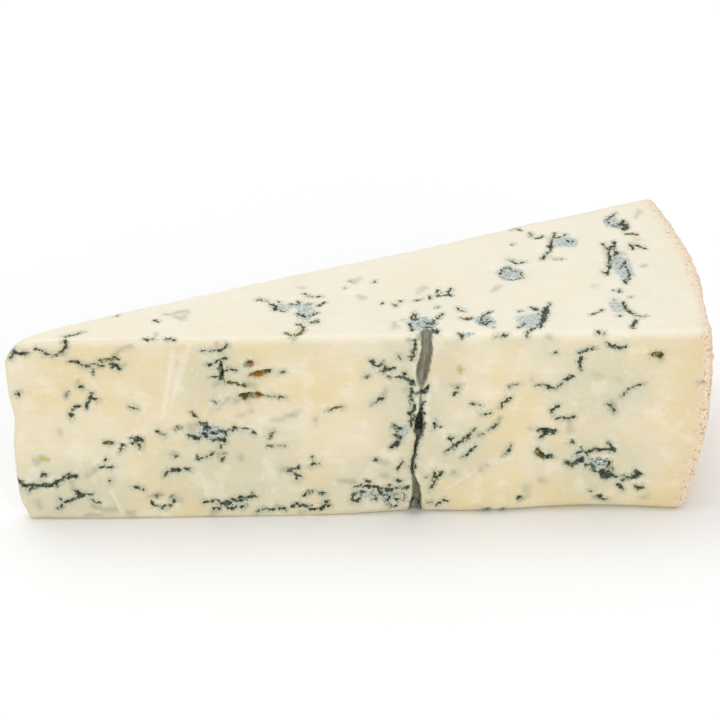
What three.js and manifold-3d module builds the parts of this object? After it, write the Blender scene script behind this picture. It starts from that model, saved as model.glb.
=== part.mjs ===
// A retail wedge of gorgonzola, cut from a wheel of soft blue cheese, in millimetres with +Z up.
//
// The wheel was cut across its height into layers, and this layer into wedges, so five of the six sides are
// cut paste and only the curved outer side is rind. The wedge lies on its lower cut face. +X runs from the
// tip, which was the wheel's middle, to the rind, along the line that halves the wedge's angle.
// A hole that was pierced into the wheel to let the mould breathe runs down one radial cut face, which
// slices it open lengthwise: in places it shows as a channel, in places only as a crack.
import * as THREE from "three";
import { mergeVertices } from "three/addons/utils/BufferGeometryUtils.js";
import Module from "manifold-3d";

// Driving dimensions.
const WHEEL_RADIUS = 140;
const WEDGE_ANGLE = THREE.MathUtils.degToRad(22);
const HEIGHT = 41.5;

// The rim is upright at the top and draws in towards the wheel's rounded lower edge.
const RIM_STRAIGHT_FROM = 33;
const RIM_DRAW_IN = 5.6;

// Both cuts pass a little beside the wheel's middle, so the tip is blunt. It leans back from top to bottom,
// and handling has worn its top and foot into long round shoulders.
const CUT_OFFSET = 0.8;
const TIP_RADIUS = 0.8;
const TIP_LEAN = 2.0;
const TIP_DENT = 0.7;
const TIP_SHOULDER = { long: 9, tall: 5.4 };
const TIP_FOOT = { long: 5, tall: 6 };

// How far the hand-cut faces wander from flat, and the length of that wander.
const FACE_WAVE = 0.3;
const WAVE_LENGTH = 74;

// Rows of the surface along the radius, across the wedge and up its height.
const ROWS_ALONG = 54;
const ROWS_ACROSS = 14;
const ROWS_UP = 18;
const EDGE_ROWS = 3;
const EDGE_BAND = 2.4;

const { clamp, lerp, smoothstep } = THREE.MathUtils;

// A smooth hump, 1 at its middle and near 0 one width away.
function hump(value, middle, width) {
  return Math.exp(-(((value - middle) / width) ** 2) * 2);
}

// Rows lie close together in a band at both ends of a length, where the edges are round.
function rowPlace(share, rows, length) {
  const row = share * rows;
  const step = EDGE_BAND / EDGE_ROWS;
  if (row <= EDGE_ROWS) return row * step;
  if (row >= rows - EDGE_ROWS) return length - (rows - row) * step;
  return EDGE_BAND + ((row - EDGE_ROWS) * (length - 2 * EDGE_BAND)) / (rows - 2 * EDGE_ROWS);
}

function rimRadius(height) {
  const below = Math.max(0, RIM_STRAIGHT_FROM - height) / RIM_STRAIGHT_FROM;
  return WHEEL_RADIUS - RIM_DRAW_IN * below ** 2;
}

// How far a quarter of an ellipse has curved back, at a share of the way up it.
function curvedBack(long, share) {
  return long * (1 - Math.sqrt(1 - clamp(share, 0, 1) ** 2));
}

function tipRadius(height) {
  const lean = TIP_LEAN * (1 - height / HEIGHT);
  const dent = TIP_DENT * hump(height, 23, 5);
  const shoulder = curvedBack(TIP_SHOULDER.long, 1 - (HEIGHT - height) / TIP_SHOULDER.tall);
  const foot = curvedBack(TIP_FOOT.long, 1 - height / TIP_FOOT.tall);
  return TIP_RADIUS + lean + dent + shoulder + foot;
}

// The height of the top surface, which drops along the tip's shoulder.
function topAt(radius) {
  const before = clamp((TIP_RADIUS + TIP_SHOULDER.long - radius) / TIP_SHOULDER.long, 0, 1);
  return HEIGHT - TIP_SHOULDER.tall * (1 - Math.sqrt(1 - before ** 2));
}

function halfWidthAt(radius) {
  return (radius * WEDGE_ANGLE) / 2 + CUT_OFFSET;
}

// Radii of the rounded edges. Each is wider where the soft paste is worn or has slumped.
function topEdge(radius) {
  return 0.9 + 1.1 * hump(radius, 0, 22);
}

function bottomEdge(radius) {
  return 1.3 + 1.8 * hump(radius, 80, 16) + 3.4 * hump(radius, 114, 26) + 1.2 * hump(radius, 0, 14);
}

const RIM_EDGE = 2;
const TIP_EDGE = 0.8;

// Moves a point of the box's skin onto an ellipsoid corner or edge where it is near one.
function roundEdges(p) {
  const halfWidth = halfWidthAt(p.radius);
  const inner = tipRadius(p.height);
  const outer = rimRadius(p.height);
  const nearTip = p.radius < (inner + outer) / 2;
  const along = nearTip ? TIP_EDGE : RIM_EDGE;
  const up = p.height > HEIGHT / 2 ? topEdge(p.radius) : bottomEdge(p.radius);
  const across = Math.min(up, halfWidth * 0.92);
  const core = {
    radius: clamp(p.radius, inner + along, outer - along),
    arc: clamp(p.arc, -halfWidth + across, halfWidth - across),
    height: clamp(p.height, up, topAt(p.radius) - up),
  };
  // The tip's shoulder and foot are round already, so only its upright stretch is rounded in plan.
  const foot = smoothstep(p.height, 0, TIP_FOOT.tall);
  const shoulder = smoothstep(HEIGHT - p.height, 0, TIP_SHOULDER.tall);
  const blunt = nearTip ? foot * shoulder : 1;
  const out = [
    ((p.radius - core.radius) / along) * blunt,
    (p.arc - core.arc) / across,
    (p.height - core.height) / up,
  ];
  const reach = Math.hypot(...out);
  if (reach === 0) return p;
  return {
    radius: lerp(p.radius, core.radius + (out[0] / reach) * along, blunt),
    arc: core.arc + (out[1] / reach) * across,
    height: core.height + (out[2] / reach) * up,
  };
}

// The unevenness of cheese cut by hand: slow waves, none of them repeating over the wedge's length.
function faceWave(x, y, z) {
  const k = (2 * Math.PI) / WAVE_LENGTH;
  return (
    FACE_WAVE *
    (0.5 * Math.sin(k * x + 0.7 * k * z + 1.1) +
      0.3 * Math.sin(1.7 * k * x - 1.3 * k * z + 2.1 * k * y) +
      0.2 * Math.sin(2.9 * k * x + 2.3 * k * z - 1.9 * k * y + 0.6))
  );
}

// The skin of a unit box, bent into a sector of the wheel, rounded and made uneven.
function wedgeBody() {
  const box = new THREE.BoxGeometry(1, 1, 1, ROWS_ALONG, ROWS_ACROSS, ROWS_UP);
  const skin = box.getAttribute("position");
  const push = new THREE.Vector3();
  for (let i = 0; i < skin.count; i++) {
    const along = skin.getX(i) + 0.5;
    const across = skin.getY(i) + 0.5;
    const up = skin.getZ(i) + 0.5;
    const height = rowPlace(up, ROWS_UP, HEIGHT);
    const inner = tipRadius(height);
    const radius = inner + rowPlace(along, ROWS_ALONG, rimRadius(height) - inner);
    const p = roundEdges({ radius, arc: (2 * across - 1) * halfWidthAt(radius), height });
    const sideways = p.arc / halfWidthAt(p.radius);
    const angle = (sideways * WEDGE_ANGLE) / 2;
    const x = p.radius * Math.cos(angle);
    const y = p.radius * Math.sin(angle) + sideways * CUT_OFFSET;
    // The wave pushes the two radial cuts and the top along their normals and fades towards the tip, the rim
    // and the base, which stays flat.
    const side = across === 0 ? -1 : across === 1 ? 1 : 0;
    push.set(0, side, up === 1 ? 0.5 : 0);
    const alongFade = smoothstep(p.radius, 4, 20) * smoothstep(WHEEL_RADIUS - p.radius, 2, 10);
    const upFade = smoothstep(p.height, 0.2, 5);
    push.multiplyScalar(faceWave(x, y, p.height) * alongFade * upFade);
    skin.setXYZ(i, x + push.x, y + push.y, p.height + push.z);
  }
  box.deleteAttribute("normal");
  box.deleteAttribute("uv");
  return mergeVertices(box, 1e-3);
}

// The pierced hole, from the bottom up: height, distance from the wheel's middle, half of its opening on the
// cut face, and depth. It is a notch at the foot, a crack, a chamber, a crack again and an open channel.
const PIERCED = [
  [0, 80.7, 1.5, 3.4],
  [1.6, 80.8, 1.2, 3],
  [7, 81.2, 0.9, 2],
  [9.2, 80.7, 0.4, 1.2],
  [17, 81.4, 0.4, 1.2],
  [18.3, 81.9, 0.65, 2.4],
  [20, 81.9, 0.9, 3],
  [22.5, 82.1, 0.7, 2.4],
  [24, 82.3, 0.4, 1.2],
  [29.5, 82.7, 0.5, 1.2],
  [31, 82.8, 1.15, 2.4],
  [34, 83.1, 1.35, 2.8],
  [37, 83.7, 1.25, 2.8],
  [40.5, 83.9, 1.1, 2.8],
  [HEIGHT, 83.8, 1.45, 2.8],
];
const PIERCED_SIDES = 10;
const PIERCED_ROWS = 32;

function piercedHole(height) {
  const above = Math.max(1, PIERCED.findIndex((row) => row[0] >= height));
  const [low, high] = [PIERCED[above - 1], PIERCED[above]];
  const share = (height - low[0]) / (high[0] - low[0]);
  const [, radius, halfWidth, depth] = low.map((value, i) => lerp(value, high[i], share));
  return { radius, halfWidth, depth };
}

// A cutter for the hole: a tube with an elliptical section, centred on the cut face at y = 0.
function piercedCutter() {
  const length = HEIGHT + 3;
  const tube = new THREE.CylinderGeometry(1, 1, length, PIERCED_SIDES, PIERCED_ROWS).rotateX(Math.PI / 2);
  const skin = tube.getAttribute("position");
  for (let i = 0; i < skin.count; i++) {
    const height = skin.getZ(i) + HEIGHT / 2;
    const hole = piercedHole(clamp(height, 0, HEIGHT));
    skin.setXYZ(i, hole.radius + skin.getX(i) * hole.halfWidth, skin.getY(i) * hole.depth, height);
  }
  return tube;
}

// Small gaps between curds that the knife opened on the same face: place, half sizes and tilt in the face.
const GAPS = [
  { radius: 43.5, height: 34.4, long: 0.5, tall: 1.6, deep: 1.4, tilt: 0.1 },
  { radius: 48.9, height: 35.7, long: 1, tall: 0.6, deep: 1.5, tilt: 0.5 },
  { radius: 51.2, height: 33.7, long: 2.2, tall: 0.5, deep: 1.5, tilt: 0.25 },
  { radius: 49.2, height: 28.5, long: 2.4, tall: 0.65, deep: 1.9, tilt: 0 },
  { radius: 106.4, height: 19.3, long: 1.4, tall: 0.6, deep: 1.4, tilt: 0.3 },
  { radius: 105.6, height: 13.8, long: 1.3, tall: 0.7, deep: 1.5, tilt: -0.3 },
  { radius: 118.6, height: 9.4, long: 1.2, tall: 1, deep: 1.4, tilt: 0 },
  { radius: 129, height: 36.3, long: 1.1, tall: 0.6, deep: 1.3, tilt: 0.2 },
];

function gapCutter({ radius, height, long, tall, deep, tilt }) {
  return new THREE.SphereGeometry(1, 8, 6)
    .scale(long, deep, tall)
    .rotateY(-tilt)
    .translate(radius, 0, height);
}

const wasm = await Module();
wasm.setup();

function toSolid(geometry) {
  geometry.deleteAttribute("normal");
  geometry.deleteAttribute("uv");
  const merged = mergeVertices(geometry, 1e-3);
  return new wasm.Manifold(
    new wasm.Mesh({
      numProp: 3,
      vertProperties: merged.getAttribute("position").array,
      triVerts: new Uint32Array(merged.index.array),
    }),
  );
}

function toGeometry(solid) {
  const mesh = solid.getMesh();
  return new THREE.BufferGeometry()
    .setAttribute("position", new THREE.BufferAttribute(mesh.vertProperties, 3))
    .setIndex(new THREE.BufferAttribute(mesh.triVerts, 1));
}

// The cutters are made for a cut face at y = 0, and turn with it to its side of the wedge.
let cheese = toSolid(wedgeBody());
for (const cutter of [piercedCutter(), ...GAPS.map(gapCutter)]) {
  cheese = cheese.subtract(toSolid(cutter.translate(0, -CUT_OFFSET, 0).rotateZ(-WEDGE_ANGLE / 2)));
}

const paste = new THREE.MeshStandardMaterial({ color: 0xe6d8b4, roughness: 0.5, metalness: 0 });
const wedge = new THREE.Mesh(toGeometry(cheese), paste);
wedge.name = "cheese_wedge";

// The frame's origin is the middle of the footprint, on the surface that the wedge lies on.
wedge.geometry.computeBoundingBox();
const { min, max } = wedge.geometry.boundingBox;
wedge.geometry.translate(-(min.x + max.x) / 2, -(min.y + max.y) / 2, -min.z);

const gorgonzola = new THREE.Group();
gorgonzola.add(wedge);

export default gorgonzola;
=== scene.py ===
# %% [markdown]
# # A wedge of gorgonzola
#
# This lesson dresses one CAD solid, a wedge cut from a wheel of blue cheese, as the real thing. The solid
# gives the size and the main shape. Here the same shape is made again as a much finer mesh, so that it can
# carry what a coarse solid can't: veins that lie a little below the cut, small gaps between the curds, the
# drag marks of a knife, and a rough rind. The finish is one material that reads what the mesh knows.

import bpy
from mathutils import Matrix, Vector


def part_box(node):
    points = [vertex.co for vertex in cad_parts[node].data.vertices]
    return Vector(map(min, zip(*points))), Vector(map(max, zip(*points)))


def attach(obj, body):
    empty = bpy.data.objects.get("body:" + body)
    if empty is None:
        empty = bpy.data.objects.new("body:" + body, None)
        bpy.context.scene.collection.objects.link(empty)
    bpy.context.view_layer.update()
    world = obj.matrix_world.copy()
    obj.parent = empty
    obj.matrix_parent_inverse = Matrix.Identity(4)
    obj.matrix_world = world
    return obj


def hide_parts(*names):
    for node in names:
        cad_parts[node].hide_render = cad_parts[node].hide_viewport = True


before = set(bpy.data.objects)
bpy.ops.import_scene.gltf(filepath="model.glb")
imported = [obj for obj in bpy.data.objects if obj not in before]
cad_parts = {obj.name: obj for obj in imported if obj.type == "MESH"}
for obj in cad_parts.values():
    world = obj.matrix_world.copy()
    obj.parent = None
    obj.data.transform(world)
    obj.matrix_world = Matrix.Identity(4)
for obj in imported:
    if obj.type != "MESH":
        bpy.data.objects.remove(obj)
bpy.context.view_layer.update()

# %% Tools for numbers
import math
import random

import bmesh
import bpy
import numpy as np
from mathutils import Matrix, Vector, noise

MM = 0.001


def lerp(a, b, share):
    return a + (b - a) * share


def smoothstep(value, low, high):
    share = np.clip((value - low) / (high - low), 0, 1)
    return share * share * (3 - 2 * share)


def hump(value, middle, width):
    """A smooth hump, 1 at its middle and near 0 one width away."""
    return np.exp(-2 * ((value - middle) / width) ** 2)


# %% [markdown]
# ## The wheel and the wedge
#
# A wheel of gorgonzola is about 28 cm across. It is cut across its height into layers and each layer into
# wedges, so five sides of this piece are cut paste and only the curved one is rind. These sizes repeat the
# ones that the solid was made from, in millimetres, so that the fine mesh lies on the solid everywhere. The
# origin of a wedge is easiest at the wheel's middle, which lies one radius from the rim.

# %% Sizes of the wedge
WHEEL_RADIUS = 140
WEDGE_ANGLE = math.radians(22)
HEIGHT = 41.5
RIM_STRAIGHT_FROM = 33
RIM_DRAW_IN = 5.6
CUT_OFFSET = 0.8
TIP_RADIUS = 0.8
TIP_LEAN = 2.0
TIP_DENT = 0.7
TIP_SHOULDER_LONG = 9
TIP_SHOULDER_TALL = 5.4
TIP_FOOT_LONG = 5
TIP_FOOT_TALL = 6
TIP_EDGE = 0.8
RIM_EDGE = 2
FACE_WAVE = 0.3
WAVE_LENGTH = 74

APEX_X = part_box("cheese_wedge")[1].x / MM - WHEEL_RADIUS
print("wheel's middle at x =", round(APEX_X, 3), "mm")


def rim_radius(height):
    below = np.maximum(0, RIM_STRAIGHT_FROM - height) / RIM_STRAIGHT_FROM
    return WHEEL_RADIUS - RIM_DRAW_IN * below**2


def curved_back(long, share):
    """How far a quarter of an ellipse has curved back, at a share of the way up it."""
    return long * (1 - np.sqrt(1 - np.clip(share, 0, 1) ** 2))


def tip_radius(height):
    lean = TIP_LEAN * (1 - height / HEIGHT)
    dent = TIP_DENT * hump(height, 23, 5)
    shoulder = curved_back(TIP_SHOULDER_LONG, 1 - (HEIGHT - height) / TIP_SHOULDER_TALL)
    foot = curved_back(TIP_FOOT_LONG, 1 - height / TIP_FOOT_TALL)
    return TIP_RADIUS + lean + dent + shoulder + foot


def top_at(radius):
    """The height of the top surface, which drops along the tip's shoulder."""
    before = np.clip((TIP_RADIUS + TIP_SHOULDER_LONG - radius) / TIP_SHOULDER_LONG, 0, 1)
    return HEIGHT - TIP_SHOULDER_TALL * (1 - np.sqrt(1 - before**2))


def half_width_at(radius):
    return radius * WEDGE_ANGLE / 2 + CUT_OFFSET


def top_edge(radius):
    return 0.9 + 1.1 * hump(radius, 0, 22)


def bottom_edge(radius):
    return 1.3 + 1.8 * hump(radius, 80, 16) + 3.4 * hump(radius, 114, 26) + 1.2 * hump(radius, 0, 14)


def face_wave(x, y, z):
    """The slow unevenness of a face cut by hand."""
    k = 2 * math.pi / WAVE_LENGTH
    slow = 0.5 * np.sin(k * x + 0.7 * k * z + 1.1)
    middle = 0.3 * np.sin(1.7 * k * x - 1.3 * k * z + 2.1 * k * y)
    quick = 0.2 * np.sin(2.9 * k * x + 2.3 * k * z - 1.9 * k * y + 0.6)
    return FACE_WAVE * (slow + middle + quick)


# %% [markdown]
# ## A fine box
#
# The wedge starts as a cube. `subdivide_edges` cuts the edges of one direction at a time, which gives a box
# whose six sides are even grids. A sculpted block would do as well, but a grid can be bent by a formula,
# and its rows stay easy to count.

# %% Cut a cube into a fine box
ROWS = {"along": 150, "across": 38, "up": 46}
EDGE_ROWS = 5
EDGE_BAND = 2.4


def fine_box(rows):
    box = bmesh.new()
    bmesh.ops.create_cube(box, size=1)
    for axis, count in enumerate(rows):
        chosen = []
        for edge in box.edges:
            run = edge.verts[1].co - edge.verts[0].co
            if abs(run[axis]) > 0.5:
                chosen.append(edge)
        bmesh.ops.subdivide_edges(box, edges=chosen, cuts=count - 1, use_grid_fill=True)
    return box


wedge_mesh = bpy.data.meshes.new("cheese_paste_wedge")
box = fine_box([ROWS["along"], ROWS["across"], ROWS["up"]])
box.to_mesh(wedge_mesh)
box.free()
print("fine box:", len(wedge_mesh.vertices), "vertices,", len(wedge_mesh.polygons), "faces")


def read_points(mesh):
    flat = np.empty(len(mesh.vertices) * 3)
    mesh.vertices.foreach_get("co", flat)
    return flat.reshape(-1, 3)


def write_points(mesh, points):
    mesh.vertices.foreach_set("co", points.astype(np.float32).ravel())
    mesh.update()


# %% [markdown]
# ## Bend the box into the wedge
#
# Every point of the box has three shares, along the radius, across the wedge and up its height. The shares
# become a radius, an arc and a height, the edges are rounded by moving points onto small ellipsoids, and
# the whole is bent round the wheel's middle. The rows lie closer together near the edges, where they turn.

# %% Bend it
def row_place(share, rows, length):
    row = share * rows
    step = EDGE_BAND / EDGE_ROWS
    middle = EDGE_BAND + (row - EDGE_ROWS) * (length - 2 * EDGE_BAND) / (rows - 2 * EDGE_ROWS)
    ends = np.where(row <= EDGE_ROWS, row * step, length - (rows - row) * step)
    return np.where((row > EDGE_ROWS) & (row < rows - EDGE_ROWS), middle, ends)


def round_edges(radius, arc, height):
    half_width = half_width_at(radius)
    inner = tip_radius(height)
    outer = rim_radius(height)
    near_tip = radius < (inner + outer) / 2
    along = np.where(near_tip, TIP_EDGE, RIM_EDGE)
    up = np.where(height > HEIGHT / 2, top_edge(radius), bottom_edge(radius))
    across = np.minimum(up, half_width * 0.92)
    core_radius = np.clip(radius, inner + along, outer - along)
    core_arc = np.clip(arc, across - half_width, half_width - across)
    core_height = np.clip(height, up, top_at(radius) - up)
    foot = smoothstep(height, 0, TIP_FOOT_TALL)
    shoulder = smoothstep(HEIGHT - height, 0, TIP_SHOULDER_TALL)
    blunt = np.where(near_tip, foot * shoulder, 1)
    out = np.stack(
        [(radius - core_radius) / along * blunt, (arc - core_arc) / across, (height - core_height) / up]
    )
    reach = np.sqrt((out**2).sum(0))
    out = np.divide(out, reach, out=np.zeros_like(out), where=reach > 0)
    moved = reach > 0
    return (
        np.where(moved, lerp(radius, core_radius + out[0] * along, blunt), radius),
        np.where(moved, core_arc + out[1] * across, arc),
        np.where(moved, core_height + out[2] * up, height),
    )


def bend_box(share):
    across = share[:, 1]
    height = row_place(share[:, 2], ROWS["up"], HEIGHT)
    inner = tip_radius(height)
    radius = inner + row_place(share[:, 0], ROWS["along"], rim_radius(height) - inner)
    radius, arc, height = round_edges(radius, (2 * across - 1) * half_width_at(radius), height)
    sideways = arc / half_width_at(radius)
    angle = sideways * WEDGE_ANGLE / 2
    x = radius * np.cos(angle)
    y = radius * np.sin(angle) + sideways * CUT_OFFSET
    fade = smoothstep(radius, 4, 20) * smoothstep(WHEEL_RADIUS - radius, 2, 10) * smoothstep(height, 0.2, 5)
    push = face_wave(x, y, height) * fade
    side = np.where(across < 1e-5, -1, np.where(across > 1 - 1e-5, 1, 0))
    lift = np.where(share[:, 2] > 1 - 1e-5, 0.5, 0)
    return np.stack([x + APEX_X, y + side * push, height + lift * push], 1)


points = bend_box(read_points(wedge_mesh) + 0.5)
write_points(wedge_mesh, points)
print("bent box, mm:", points.min(0).round(2), "to", points.max(0).round(2))

# %% [markdown]
# ## Four cut faces, each with its own flat map
#
# Veins are easiest to place on a flat map of the face that they show on. The two radial cuts are mapped by
# the distance from the wheel's middle and the height. The upper and lower cuts are mapped by x and y from
# the wheel's middle. The third number of each map is the depth below that cut, so a vein on one face fades
# where the surface turns over an edge to the next one.

# %% Flat maps
def radial_map(points, side):
    """side is -1 for the front cut and +1 for the back one."""
    turn = side * WEDGE_ANGLE / 2
    x = points[:, 0] - APEX_X
    along = x * math.cos(turn) + points[:, 1] * math.sin(turn)
    out = side * (points[:, 1] * math.cos(turn) - x * math.sin(turn))
    return np.stack([along, points[:, 2], CUT_OFFSET - out], 1)


def level_map(points, side):
    """side is +1 for the upper cut and -1 for the lower one."""
    depth = HEIGHT - points[:, 2] if side > 0 else points[:, 2]
    return np.stack([points[:, 0] - APEX_X, points[:, 1], depth], 1)


def face_maps(points):
    return {
        "front": radial_map(points, -1),
        "back": radial_map(points, 1),
        "top": level_map(points, 1),
        "bottom": level_map(points, -1),
    }


def polar(places):
    """Places on a level cut, given as a radius and an angle in degrees from the wedge's middle line."""
    return [(r * math.cos(math.radians(a)), r * math.sin(math.radians(a))) for r, a in places]
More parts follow.
